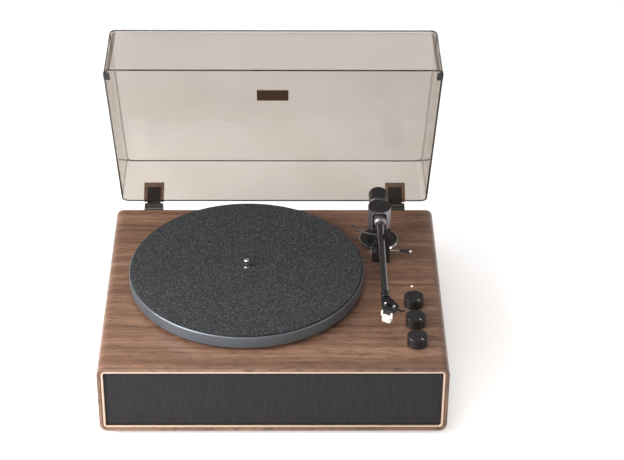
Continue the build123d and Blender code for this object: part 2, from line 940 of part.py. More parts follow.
# Pivot housing: a cup with an arch at the front for the arm and a slot at the back for the weight's stub
housing_low = top + housing_lift
housing_high = housing_low + housing_height
housing_roof = housing_high - housing_wall / 2
cross_bore = cross_pin_radius + running
with BuildPart() as arm_housing:
    add(
        turned(
            [
                (swing_shaft_radius, housing_low),
                (housing_radius - 0.5, housing_low),
                (housing_radius, housing_low + 0.5),
                (housing_radius, housing_high),
                (0, housing_high),
                (0, housing_roof),
                (housing_radius - housing_wall, housing_roof),
                (housing_radius - housing_wall, swing_high),
                (swing_shaft_radius, swing_high),
            ],
            upright(pivot_x, pivot_y),
        )
    )
    arch_height = housing_roof - housing_low + 1
    with BuildSketch(upright(pivot_x, pivot_y).offset(collar_back - 1)):
        with Locations((0, housing_roof - arch_height / 2)):
            Rectangle(housing_notch, arch_height)
        fillet(vertices().group_by(Axis.Y)[-1], housing_notch / 3)
    extrude(amount=housing_radius, mode=Mode.SUBTRACT)
    slot_height = housing_roof - swing_high
    with BuildSketch(upright(pivot_x, pivot_y).offset(-collar_back)):
        with Locations((0, swing_high + slot_height / 2)):
            Rectangle(2 * stub_radius + 3, slot_height)
    extrude(amount=-housing_radius, mode=Mode.SUBTRACT)
    with BuildSketch(Plane.YZ.offset(pivot_x)):
        with Locations((pivot_y, tube_z)):
            Circle(cross_bore)
    extrude(amount=housing_radius + 1, both=True, mode=Mode.SUBTRACT)
pieces["arm_housing"] = arm_housing.part

with BuildPart() as housing_cap:
    add(ring(housing_radius, 0, housing_high, housing_high + cap_thickness, pivot_x, pivot_y))
    fillet(housing_cap.edges().group_by(Axis.Z)[-1], 0.4)
pieces["housing_cap"] = housing_cap.part

with BuildPart() as pivot_pin:
    with BuildSketch(Plane.YZ.offset(pivot_x)):
        with Locations((pivot_y, tube_z)):
            Circle(cross_pin_radius)
    extrude(amount=housing_radius - 0.5, both=True)
pieces["pivot_pin"] = pivot_pin.part

# Arm tube, and the collar that holds it on the cross pin, with a stub behind for the weight
sleeve_bore = tube_radius + running
with BuildPart() as arm_tube:
    add(
        turned(
            [
                (tube_bore, collar_back),
                (tube_radius, collar_back),
                (tube_radius, tube_end),
                (tube_bore, tube_end),
            ],
            arm_line,
        )
    )
pieces["arm_tube"] = arm_tube.part

with BuildPart() as arm_collar:
    add(
        turned(
            [
                (0, -stub_end),
                (stub_radius, -stub_end),
                (stub_radius, -collar_back),
                (collar_radius, -collar_back),
                (collar_radius, collar_front - 1.2),
                (collar_radius - 1.2, collar_front),
                (sleeve_bore, collar_front),
                (sleeve_bore, collar_back),
                (0, collar_back),
            ],
            arm_line,
        )
    )
    with BuildSketch(Plane.YZ.offset(pivot_x)):
        with Locations((pivot_y, tube_z)):
            Circle(cross_bore)
    extrude(amount=housing_radius, both=True, mode=Mode.SUBTRACT)
pieces["arm_collar"] = arm_collar.part

# Headshell: a socket on the tube, a bent plate for the cartridge and a finger lift
screw_half = cartridge_screw_spacing / 2
head_screw_radius = 1.25
with BuildPart() as headshell:
    with BuildSketch(Plane.XY.offset(head_underside)):
        with BuildLine():
            Polyline(
                (pivot_x - neck_radius, pivot_y - tube_end),
                (pivot_x + neck_radius, pivot_y - tube_end),
                (pivot_x + neck_radius + 1.2, pivot_y - neck_end - 2),
                head_spot(-1, -12),
                head_spot(10.2, -5),
                head_spot(10.2, 4.5),
                head_spot(-8.5, 4.5),
                close=True,
            )
        make_face()
        fillet(vertices(), 1)
    extrude(amount=head_plate)
    add(
        turned(
            [
                (sleeve_bore, neck_start),
                (neck_radius, neck_start),
                (neck_radius, neck_end - 0.8),
                (neck_radius - 0.8, neck_end),
                (0, neck_end),
                (0, tube_end),
                (sleeve_bore, tube_end),
            ],
            arm_line,
        )
    )
    head_top = head_underside + head_plate
    lift_plane = Plane(origin=(*head_spot(0, 1.2), 0), x_dir=head_right, z_dir=head_forward)
    with BuildSketch(lift_plane):
        with BuildLine():
            Polyline(
                (9, head_top - 1.2),
                (18, head_top - 1.2),
                (22.5, head_top + 1.4),
                (22.5, head_top + 2.6),
                (17.8, head_top),
                (9, head_top),
                close=True,
            )
        make_face()
    extrude(amount=3.2)
    with BuildSketch(head_plane(0)):
        with Locations((-screw_half, 0), (screw_half, 0)):
            Circle(head_screw_radius + running)
        with Locations((0, 0), (-2, -9.7)):
            Circle(2.6)
    extrude(amount=-2 * head_plate, mode=Mode.SUBTRACT)
pieces["headshell"] = headshell.part

with BuildPart() as headshell_screws:
    with BuildSketch(head_plane(-head_plate)):
        with Locations((-screw_half, 0), (screw_half, 0)):
            Circle(2.1)
    extrude(amount=-1.4)
    with BuildSketch(head_plane(-head_plate - 1.4)):
        with Locations((-screw_half, 0), (screw_half, 0)):
            RegularPolygon(1, 6)
    extrude(amount=0.8, mode=Mode.SUBTRACT)
    with BuildSketch(head_plane(-head_plate)):
        with Locations((-screw_half, 0), (screw_half, 0)):
            Circle(head_screw_radius)
    extrude(amount=head_plate + 4)
pieces["headshell_screws"] = headshell_screws.part

# Cartridge: a body with two ears, pockets under the ears and four pins at the back
with BuildPart() as cartridge:
    with BuildSketch(head_plane(0)):
        with Locations((0, -1.5)):
            Rectangle(14, 15)
    extrude(amount=cartridge_height)
    with BuildSketch(head_plane(0)):
        Rectangle(17.2, 6)
    extrude(amount=2.5)
    with BuildSketch(head_plane(2.5)):
        with Locations((-screw_half - 0.3, 0), (screw_half + 0.3, 0)):
            Rectangle(3.7, 4)
    extrude(amount=cartridge_height, mode=Mode.SUBTRACT)
    with BuildSketch(head_plane(0)):
        with Locations((-screw_half, 0), (screw_half, 0)):
            Circle(head_screw_radius + running)
    extrude(amount=2.5, mode=Mode.SUBTRACT)
    pin_plane = Plane(
        origin=(*head_spot(0, -9), head_underside - cartridge_height / 2),
        x_dir=head_right,
        z_dir=tuple(-part for part in head_forward),
    )
    with BuildSketch(pin_plane):
        with GridLocations(5, 3.4, 2, 2):
            Circle(0.6)
    extrude(amount=3)
pieces["cartridge"] = cartridge.part

with BuildPart() as stylus_unit:
    with BuildSketch(head_plane(cartridge_height + 0.1)):
        with Locations((0, 5.7)):
            RectangleRounded(11.2, 7.8, 1)
    extrude(amount=8.9)
    with BuildSketch(head_plane(2.6)):
        with Locations((-6.5, 7.2), (6.5, 7.2)):
            Rectangle(2.2, 2)
    extrude(amount=7)
    tip_plane = Plane(origin=(*head_spot(0, stylus_ahead), 0), x_dir=head_right, z_dir=head_forward)
    add(
        turned(
            [
                (0, record_top),
                (0.15, record_top),
                (0.5, record_top + 1.4),
                (0, record_top + 1.4),
            ],
            tip_plane,
        )
    )
pieces["stylus_unit"] = stylus_unit.part

# Counterweight on its sleeve, with the force dial in front
with BuildPart() as weight_sleeve:
    add(
        turned(
            [
                (stub_radius + running, -weight_end + 1),
                (sleeve_radius, -weight_end + 1),
                (sleeve_radius, -dial_start),
                (stub_radius + running, -dial_start),
            ],
            arm_line,
        )
    )
pieces["weight_sleeve"] = weight_sleeve.part

with BuildPart() as force_dial:
    add(
        turned(
            [
                (sleeve_radius + running, -dial_end),
                (weight_radius - 0.2, -dial_end),
                (weight_radius - 0.2, -dial_start - 0.6),
                (weight_radius - 0.8, -dial_start),
                (sleeve_radius + running, -dial_start),
            ],
            arm_line,
        )
    )
pieces["force_dial"] = force_dial.part

with BuildPart() as counterweight:
    add(
        turned(
            [
                (sleeve_radius + running, -weight_end),
                (weight_radius - 1, -weight_end),
                (weight_radius, -weight_end + 1),
                (weight_radius, -weight_start),
                (sleeve_radius + running, -weight_start),
            ],
            arm_line,
        )
    )
pieces["counterweight"] = counterweight.part

# Arm lift: a block with a turret, a bar that rises through it and a lever with a cam under the bar
block_x = lift_post_x + block_offset
block_y = lift_post_y + block_offset - 2
cam_half = 3.3
pocket_top = cue_z + cam_throw + cam_radius - 0.3
block_top = top + block_height
with BuildPart() as lift_housing:
    with BuildSketch(top_plane):
        with Locations((block_x, block_y)):
            RectangleRounded(block_width, block_depth, 2.5)
    extrude(amount=block_height)
    fillet(lift_housing.edges().group_by(Axis.Z)[-1], 1)
    with BuildSketch(Plane.XY.offset(block_top)):
        with Locations((lift_post_x, lift_post_y)):
            Circle(turret_radius)
    extrude(amount=turret_height)
    chamfer(lift_housing.edges().group_by(Axis.Z)[-1], 0.6)
    with BuildSketch(top_plane):
        with Locations((lift_post_x, lift_post_y)):
            Circle(lift_post_radius + running)
    extrude(amount=block_height + turret_height, mode=Mode.SUBTRACT)
    with BuildSketch(top_plane):
        with Locations((lift_post_x, lift_post_y)):
            Rectangle(2 * cam_half, 12)
    extrude(amount=pocket_top - top, mode=Mode.SUBTRACT)
    with BuildSketch(Plane.YZ.offset(lift_post_x - cam_half - 2.1)):
        with Locations((lift_post_y, cue_z)):
            Circle(cue_rod_radius + running)
    extrude(amount=block_width, mode=Mode.SUBTRACT)
    with BuildSketch(top_plane):
        with Locations((rest_post_x, rest_y)):
            Rectangle(rest_post_width + 2 * moving, rest_post_depth + 2 * moving)
    extrude(amount=block_height, mode=Mode.SUBTRACT)
pieces["lift_housing"] = lift_housing.part

cam_y = lift_post_y - cam_throw * math.cos(math.radians(cam_start))
cam_z = cue_z + cam_throw * math.sin(math.radians(cam_start))
rod_z = ride_z - lift_rod_radius
arc_start = math.radians(-84)
arc_plane = Plane(
    origin=(pivot_x, pivot_y, 0),
    x_dir=(math.cos(arc_start), math.sin(arc_start), 0),
    z_dir=(math.sin(arc_start), -math.cos(arc_start), 0),
)
with BuildPart() as lift_bar:
    with BuildSketch(Plane.XY.offset(cam_z + cam_radius + 0.1)):
        with Locations((lift_post_x, lift_post_y)):
            Circle(lift_post_radius)
    extrude(amount=rod_z - cam_z - cam_radius - 0.1)
    with BuildSketch(arc_plane):
        with Locations((lift_arc_radius, rod_z)):
            Circle(lift_rod_radius)
    revolve(axis=Axis((pivot_x, pivot_y, 0), (0, 0, -1)), revolution_arc=72)
pieces["lift_bar"] = lift_bar.part

with BuildPart() as cue_lever:
    lever_start = lift_post_x - cam_half - 1.9
    bend = (cue_bend_x, lift_post_y, cue_z)
    tip = tuple(a + b for a, b in zip(bend, cue_tip))
    with BuildLine():
        FilletPolyline((lever_start, lift_post_y, cue_z), bend, tip, radius=5)
    with BuildSketch(Plane(origin=(lever_start, lift_post_y, cue_z), z_dir=(1, 0, 0))):
        Circle(cue_rod_radius)
    sweep()
    with BuildSketch(Plane.YZ.offset(lift_post_x - cam_half + 0.8)):
        with Locations((cam_y, cam_z)):
            Circle(cam_radius)
    extrude(amount=2 * cam_half - 1.6)
pieces["cue_lever"] = cue_lever.part

with BuildPart() as cue_grip:
    along = Vector(*cue_tip).normalized()
    with BuildSketch(Plane(origin=Vector(*bend) + along * 2.5, z_dir=along)):
        Circle(1.9)
    with BuildSketch(Plane(origin=Vector(*bend) + along * 15.5, z_dir=along)):
        Circle(2.6)
    loft()
    with BuildSketch(Plane(origin=Vector(*bend) + along * 2, z_dir=along)):
        Circle(cue_rod_radius + running)
    extrude(amount=15, mode=Mode.SUBTRACT)
pieces["cue_grip"] = cue_grip.part

# Arm rest: a post let into the top, with a cross arm under the tube and a stud for the lock
rest_top = top + rest_post_rise
lock_low = rest_top + 0.2
with BuildPart() as arm_rest:
    with BuildSketch(Plane.XY.offset(top - rest_tang)):
        with Locations((rest_post_x, rest_y)):
            Rectangle(rest_post_width, rest_post_depth)
    extrude(amount=rest_tang + rest_post_rise)
    arm_left = pivot_x - 6.5
    with BuildSketch(Plane.XY.offset(ride_z)):
        with Locations(((arm_left + rest_post_x) / 2, rest_y)):
            Rectangle(rest_post_x - arm_left, rest_post_depth - 1)
    extrude(amount=-3)
    with BuildSketch(Plane.XY.offset(rest_top)):
        with Locations((rest_post_x, rest_y)):
            Circle(1)
    extrude(amount=2.5)
    with BuildSketch(Plane.XY.offset(rest_top + 2.5)):
        with Locations((rest_post_x, rest_y)):
            Circle(1.8)
    extrude(amount=1)
pieces["arm_rest"] = arm_rest.part

with BuildPart() as rest_lock:
    with BuildSketch(Plane.XY.offset(lock_low)):
        with Locations((rest_post_x, rest_y)):
            Circle(lock_width / 2 + 0.7)
        with Locations((rest_post_x, rest_y - lock_reach / 2)):
            Rectangle(lock_width, lock_reach)
        with Locations((rest_post_x, rest_y)):
            Circle(1 + running, mode=Mode.SUBTRACT)
    extrude(amount=2)
pieces["rest_lock"] = rest_lock.part

# Dust cover: walls that lean in, a shell cut from inside, with everything in its own frame
lean_in = 2 * cover_draft
cover_top = cover_edge + cover_height
with BuildPart() as cover_outside:
    for height, shrink in ((cover_edge, 0), (cover_top, lean_in)):
        with BuildSketch(cover_frame.offset(height)):
            with Locations((0, cover_centre)):
                RectangleRounded(cover_width - shrink, cover_depth - shrink, cover_corner)
    loft()
with BuildPart() as dust_cover:
    add(cover_outside.part)
    fillet(dust_cover.faces().sort_by(cover_up)[-1].edges(), 2.5)
    inner_shrink = 2 * cover_wall
    inner_top = cover_top - cover_wall
    inner_lean = lean_in * (cover_height - cover_wall) / cover_height
    for height, shrink in ((cover_edge, inner_shrink), (inner_top, inner_shrink + inner_lean)):
        with BuildSketch(cover_frame.offset(height)):
            with Locations((0, cover_centre)):
                RectangleRounded(
                    cover_width - shrink, cover_depth - shrink, cover_corner - cover_wall
                )
    loft(mode=Mode.SUBTRACT)
pieces["dust_cover"] = dust_cover.part

with BuildPart() as cover_badge:
    with BuildSketch(cover_frame.offset(cover_top)):
        with Locations((badge_x, badge_y)):
            RectangleRounded(badge_width, badge_depth, 1)
    extrude(amount=1)
pieces["cover_badge"] = cover_badge.part

with BuildPart() as cover_bumpers:
    front_local = cover_centre - cover_depth / 2
    with BuildSketch(cover_frame.offset(cover_edge)):
        for sx in (-1, 1):
            with Locations((sx * (cover_width - bumper_width) / 2, front_local + 6 + bumper_length / 2)):
                RectangleRounded(bumper_width, bumper_length, 1)
    extrude(amount=-(cover_gap - 0.1))
pieces["cover_bumpers"] = cover_bumpers.part

# Hinges: clear sockets on the cover, blades in them that end in knuckles, brackets on the cabinet
socket_low = cover_edge + socket_start
with BuildPart() as hinge_sockets:
    with BuildSketch(cover_frame.offset(socket_low)):
        for sx in (-1, 1):
            with Locations((sx * hinge_x, -hinge_behind + (socket_depth - 3) / 2)):
                Rectangle(socket_width, socket_depth + 3)
    extrude(amount=socket_height)
    add(cover_outside.part, mode=Mode.SUBTRACT)
    with BuildSketch(cover_frame.offset(socket_low)):
        for sx in (-1, 1):
            with Locations((sx * hinge_x, blade_y)):
                Rectangle(2 * blade_half + 0.6, blade_thickness + 0.2)
    extrude(amount=blade_length + 0.6 - socket_low, mode=Mode.SUBTRACT)
pieces["hinge_sockets"] = hinge_sockets.part

with BuildPart() as hinge_blades:
    with BuildSketch(cover_frame):
        for sx in (-1, 1):
            with Locations((sx * hinge_x, blade_y)):
                Rectangle(2 * blade_half, blade_thickness)
    extrude(amount=blade_length)
    for sx in (-1, 1):
        with BuildSketch(Plane.YZ.offset(sx * hinge_x)):
            with Locations((hinge_y, hinge_z)):
                Circle(knuckle_radius)
        extrude(amount=knuckle_width / 2, both=True)
    with BuildSketch(Plane.YZ):
        with Locations((hinge_y, hinge_z)):
            Circle(hinge_pin_radius + running)
    extrude(amount=half_width, both=True, mode=Mode.SUBTRACT)
pieces["hinge_blades"] = hinge_blades.part

ear_inner = knuckle_width / 2 + moving
ear_outer = ear_inner + ear_thickness
with BuildPart() as hinge_brackets:
    bracket_top = top - 1
    for sx in (-1, 1):
        with BuildSketch(Plane.XZ.offset(-half_depth)):
            with Locations((sx * hinge_x, bracket_top - (bracket_drop - 1) / 2)):
                Rectangle(2 * ear_outer + 1, bracket_drop - 1)
        extrude(amount=-bracket_thickness)
        for side in (-1, 1):
            with BuildSketch(Plane.YZ.offset(sx * hinge_x + side * (ear_inner + ear_outer) / 2)):
                with Locations((hinge_y, hinge_z)):
                    Circle(knuckle_radius)
                with BuildLine():
                    Polyline(
                        (bracket_back, bracket_top - 17),
                        (bracket_back, bracket_top),
                        (hinge_y, bracket_top),
                        (hinge_y + 3.9, hinge_z - 5.6),
                        close=True,
                    )
                make_face()
            extrude(amount=ear_thickness / 2, both=True)
    with BuildSketch(Plane.YZ):
        with Locations((hinge_y, hinge_z)):
            Circle(hinge_pin_radius)
    extrude(amount=half_width, both=True, mode=Mode.SUBTRACT)
    add(screw_set(bracket_screws, running), mode=Mode.SUBTRACT)
pieces["hinge_brackets"] = hinge_brackets.part

with BuildPart() as hinge_pins:
    for sx in (-1, 1):
        with BuildSketch(Plane.YZ.offset(sx * hinge_x)):
            with Locations((hinge_y, hinge_z)):
                Circle(hinge_pin_radius)
        extrude(amount=ear_outer + 0.6, both=True)
pieces["hinge_pins"] = hinge_pins.part

os.makedirs("parts", exist_ok=True)
for name, piece in pieces.items():
    piece.label = name
    export_step(piece, f"parts/{name}.step")
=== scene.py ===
import json
import math

import bmesh
import bpy
from mathutils import Matrix, Vector, noise


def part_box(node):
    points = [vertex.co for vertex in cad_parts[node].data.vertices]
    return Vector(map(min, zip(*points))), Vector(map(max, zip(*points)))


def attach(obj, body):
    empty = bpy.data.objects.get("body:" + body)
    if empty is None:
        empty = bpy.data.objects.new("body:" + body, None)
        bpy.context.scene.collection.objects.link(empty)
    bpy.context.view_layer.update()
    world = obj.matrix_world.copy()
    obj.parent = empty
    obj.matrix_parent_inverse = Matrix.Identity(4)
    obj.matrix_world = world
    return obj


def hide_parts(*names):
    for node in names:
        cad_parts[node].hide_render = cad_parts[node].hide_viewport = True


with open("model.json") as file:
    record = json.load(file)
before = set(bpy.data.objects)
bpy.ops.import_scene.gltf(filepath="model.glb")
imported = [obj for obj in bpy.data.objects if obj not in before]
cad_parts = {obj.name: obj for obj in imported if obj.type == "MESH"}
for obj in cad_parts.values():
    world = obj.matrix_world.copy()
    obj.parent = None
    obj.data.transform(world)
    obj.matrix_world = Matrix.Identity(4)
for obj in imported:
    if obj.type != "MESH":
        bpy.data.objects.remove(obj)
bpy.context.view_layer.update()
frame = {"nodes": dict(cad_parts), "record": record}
nodes = frame["nodes"]
scene = bpy.context.scene
mm = 0.001
noiseLow, noiseHigh = 0.3, 0.7  # most of a noise texture's values lie between these
# sizes and places are in millimetres, unless a note says metres
platterCentre = (-35, 10.4, 0)
armLine = (138, 0, 138.5)  # on the tonearm's axis, which runs along Y
zToBack = Matrix.Rotation(-math.pi / 2, 3, "X")  # turns what was made upright to point at the back
print("frame loaded:", len(nodes), "nodes")


def toLinear(hexColour):
    parts = [int(hexColour[i:i + 2], 16) / 255 for i in (1, 3, 5)]
    return tuple(c / 12.92 if c <= 0.04045 else ((c + 0.055) / 1.055) ** 2.4 for c in parts) + (1.0,)


def addNode(tree, kind, values=None, links=None, stops=None, **settings):
    # values and links are keyed by an input's name or number: Map Range reads the range 1 to 2 and
    # gives the range 3 to 4, and a colour Mix joins colours 6 and 7 by the share 0
    node = tree.nodes.new(kind)
    for key, value in settings.items():
        setattr(node, key, value)
    for key, value in (values or {}).items():
        node.inputs[key].default_value = value
    for key, socket in (links or {}).items():
        tree.links.new(socket, node.inputs[key])
    if stops:
        ramp = node.color_ramp
        while len(ramp.elements) < len(stops):
            ramp.elements.new(1.0)
        for element, (place, colour) in zip(ramp.elements, stops):
            element.position = place
            element.color = toLinear(colour)
    return node


def newMaterial(name):
    material = bpy.data.materials.new(name)
    material.use_nodes = True
    material.node_tree.nodes.clear()
    return material, material.node_tree


def pieceFrom(bm, name, body, material, sharp=35):
    bmesh.ops.remove_doubles(bm, verts=bm.verts, dist=1e-6)
    bmesh.ops.recalc_face_normals(bm, faces=bm.faces)
    mesh = bpy.data.meshes.new(name)
    bm.to_mesh(mesh)
    bm.free()
    mesh.shade_smooth()
    mesh.set_sharp_from_angle(angle=math.radians(sharp))
    piece = bpy.data.objects.new(name, mesh)
    scene.collection.objects.link(piece)
    mesh.materials.append(material)
    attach(piece, body)
    return piece


def vertsOf(geom):
    return [part for part in geom if isinstance(part, bmesh.types.BMVert)]


def thicken(bm, faces, height):
    # gives flat faces a thickness upwards, and returns the top's vertices
    raised = vertsOf(bmesh.ops.extrude_face_region(bm, geom=faces, use_keep_orig=True)["geom"])
    bmesh.ops.translate(bm, verts=raised, vec=(0, 0, height * mm))
    return raised


def barsRound(centre, count, barAt):
    # barAt gives a bar's size, and where it stands before it is turned about Y
    bm = bmesh.new()
    for i in range(count):
        size, place = barAt(i)
        made = bmesh.ops.create_cube(bm, size=mm)["verts"]
        bmesh.ops.scale(bm, verts=made, vec=size)
        bmesh.ops.translate(bm, verts=made, vec=Vector(place) * mm)
        turn = Matrix.Rotation(math.tau * i / count, 3, "Y")
        bmesh.ops.rotate(bm, verts=made, cent=(0, 0, 0), matrix=turn)
    bmesh.ops.translate(bm, verts=bm.verts, vec=Vector(centre) * mm)
    return bm


def spun(profile, centre, steps, axis="Z"):
    # profile is closed, as (radius, height along the axis) in millimetres
    bm = bmesh.new()
    points = [bm.verts.new((r * mm, 0, h * mm)) for r, h in profile]
    for a, b in zip(points, points[1:] + points[:1]):
        bm.edges.new((a, b))
    bmesh.ops.spin(
        bm, geom=bm.verts[:] + bm.edges[:], cent=(0, 0, 0), axis=(0, 0, 1),
        angle=math.tau, steps=steps, use_merge=True, use_duplicate=False,
    )
    if axis == "Y":
        bmesh.ops.rotate(bm, verts=bm.verts, cent=(0, 0, 0), matrix=zToBack)
    bmesh.ops.translate(bm, verts=bm.verts, vec=Vector(centre) * mm)
    return bm


# Camera, at the photograph's angle

cameraSet = {
    "lens": 112.753, "sensor": 36,
    "nearest": 0.05, "place": (0.014183, -2.041944, 1.549158),  # metres
    "right": (0.99990498, -0.01113993, 0.00811988),
    "up": (-0.00054467, 0.55664461, 0.83075055),
    "back": (-0.01377439, -0.83067604, 0.55658565),
}
cameraData = bpy.data.cameras.new("camera")
cameraData.lens = cameraSet["lens"]
cameraData.sensor_width = cameraSet["sensor"]
cameraData.sensor_fit = "HORIZONTAL"
cameraData.clip_start = cameraSet["nearest"]
camera = bpy.data.objects.new("camera", cameraData)
scene.collection.objects.link(camera)
turn = Matrix([cameraSet["right"], cameraSet["up"], cameraSet["back"]]).transposed()
camera.matrix_world = Matrix.Translation(cameraSet["place"]) @ turn.to_4x4()
scene.camera = camera


# Light and floor

scene.view_settings.view_transform = "Standard"
lightSet = {  # in metres
    "world": 0.4,
    "sky": "#FBF9F8",
    "lamps": [
        # name, place, aimed at, width, height, watts
        ("leftSoftbox", (-0.85, -0.4, 0.62), (-0.1, 0.0, 0.05), 0.7, 0.7, 17),
        ("overheadSoftbox", (0.0, 0.37, 2.4), (0, 0.37, 0.1), 1.3, 0.8, 17),
        ("frontFill", (-0.5, -1.9, 1.1), (0, 0, 0.05), 1.4, 0.9, 20),
        ("rightStrip", (1.5, -0.5, 0.7), (0.1, 0, 0.1), 0.3, 1.2, 3),
    ],
}
world = bpy.data.worlds.new("studio")
scene.world = world
world.use_nodes = True
worldTree = world.node_tree
worldTree.nodes.clear()
sky = addNode(
    worldTree, "ShaderNodeBackground", {"Color": toLinear(lightSet["sky"]), "Strength": lightSet["world"]}
)
addNode(worldTree, "ShaderNodeOutputWorld", links={"Surface": sky.outputs[0]})
for name, place, aim, width, height, watts in lightSet["lamps"]:
    lamp = bpy.data.lights.new(name, "AREA")
    lamp.shape = "RECTANGLE"
    lamp.size = width
    lamp.size_y = height
    lamp.energy = watts
    lampObject = bpy.data.objects.new(name, lamp)
    scene.collection.objects.link(lampObject)
    facing = (Vector(aim) - Vector(place)).to_track_quat("-Z", "Y")
    lampObject.matrix_world = Matrix.Translation(place) @ facing.to_matrix().to_4x4()

floorSet = {
    "half": 6.0, "patch": 0.4,  # metres
    "z": -6.05,  # just under the feet
    "low": "#F4F3F2", "high": "#F9F8F7",
    "glow": 0.32,  # a little light of its own keeps the ground white, as in a cut-out picture
}
floorMaterial, tree = newMaterial("paintedBackdrop")  # matt white paint, a plain soft ground
coords = addNode(tree, "ShaderNodeTexCoord")
patchy = addNode(
    tree, "ShaderNodeTexNoise", {"Scale": 1 / floorSet["patch"], "Detail": 2.0},
    {"Vector": coords.outputs["Object"]},
)
tint = addNode(
    tree, "ShaderNodeValToRGB", links={0: patchy.outputs["Fac"]},
    stops=[(noiseLow, floorSet["low"]), (noiseHigh, floorSet["high"])],
)
paint = addNode(
    tree, "ShaderNodeBsdfPrincipled",
    {"Roughness": 0.9, "Specular IOR Level": 0.2, "Emission Strength": floorSet["glow"]},
    {"Base Color": tint.outputs[0], "Emission Color": tint.outputs[0]},
)
addNode(tree, "ShaderNodeOutputMaterial", links={"Surface": paint.outputs[0]})
bm = bmesh.new()
bmesh.ops.create_grid(bm, x_segments=1, y_segments=1, size=floorSet["half"])
bmesh.ops.translate(bm, verts=bm.verts, vec=(0, 0, floorSet["z"] * mm))
floorMesh = bpy.data.meshes.new("floor")
bm.to_mesh(floorMesh)
bm.free()
floor = bpy.data.objects.new("floor", floorMesh)
scene.collection.objects.link(floor)
floorMesh.materials.append(floorMaterial)
print("camera, lights and floor set")


# Finishes that are a grain over a plain colour

def grainedFinish(recipe):
    # one graph for every moulded, cast, plated, painted or brushed finish; sizes are in millimetres
    material, tree = newMaterial(recipe["name"])
    coords = addNode(tree, "ShaderNodeTexCoord")
    place = coords.outputs["Object"]
    if "turned" in recipe:  # lathe marks run round this centre, so the grain is read by radius and height
        moved = addNode(
            tree, "ShaderNodeVectorMath", {1: tuple(-c * mm for c in recipe["turned"])}, {0: place},
            operation="ADD",
        )
        split = addNode(tree, "ShaderNodeSeparateXYZ", links={0: moved.outputs[0]})
        flat = addNode(tree, "ShaderNodeCombineXYZ", links={0: split.outputs[0], 1: split.outputs[1]})
        radius = addNode(tree, "ShaderNodeVectorMath", links={0: flat.outputs[0]}, operation="LENGTH")
        rings = addNode(
            tree, "ShaderNodeCombineXYZ", links={0: radius.outputs["Value"], 1: split.outputs[2]}
        )
        place = rings.outputs[0]
    scale = tuple(s / (recipe["grain"] * mm) for s in recipe.get("stretch", (1, 1, 1)))
    mapped = addNode(tree, "ShaderNodeMapping", {"Scale": scale}, {"Vector": place})
    grain = addNode(
        tree, "ShaderNodeTexNoise", {"Scale": 1.0, "Detail": 3.0, "Roughness": 0.6},
        {"Vector": mapped.outputs[0]},
    )
    mottle = 25  # size of the broad patches where the finish is a little darker
    broad = addNode(
        tree, "ShaderNodeTexNoise", {"Scale": 1 / (mottle * mm), "Detail": 2.0},
        {"Vector": coords.outputs["Object"]},
    )
    low, high = recipe["colours"]
    colour = addNode(
        tree, "ShaderNodeValToRGB", links={0: grain.outputs["Fac"]},
        stops=[(noiseLow, low), (noiseHigh, high)],
    )
    worn = addNode(
        tree, "ShaderNodeMapRange",
        {1: noiseLow, 2: noiseHigh, 3: 1 - recipe.get("uneven", 0.06), 4: 1.0},
        {0: broad.outputs["Fac"]},
    )
    shade = addNode(
        tree, "ShaderNodeMix", {0: 1.0}, {6: colour.outputs[0], 7: worn.outputs[0]},
        data_type="RGBA", blend_type="MULTIPLY",
    )
    smooth, rough = recipe["roughness"]
    dull = addNode(
        tree, "ShaderNodeMapRange", {1: noiseLow, 2: noiseHigh, 3: smooth, 4: rough},
        {0: grain.outputs["Fac"]},
    )
    relief = addNode(
        tree, "ShaderNodeBump", {"Strength": 1.0, "Distance": recipe.get("relief", 0.01) * mm},
        {"Height": grain.outputs["Fac"]},
    )
    surface = addNode(
        tree, "ShaderNodeBsdfPrincipled", recipe.get("shader", {}),
        {"Base Color": shade.outputs[2], "Roughness": dull.outputs[0], "Normal": relief.outputs[0]},
    )
    addNode(tree, "ShaderNodeOutputMaterial", links={"Surface": surface.outputs[0]})
    return material


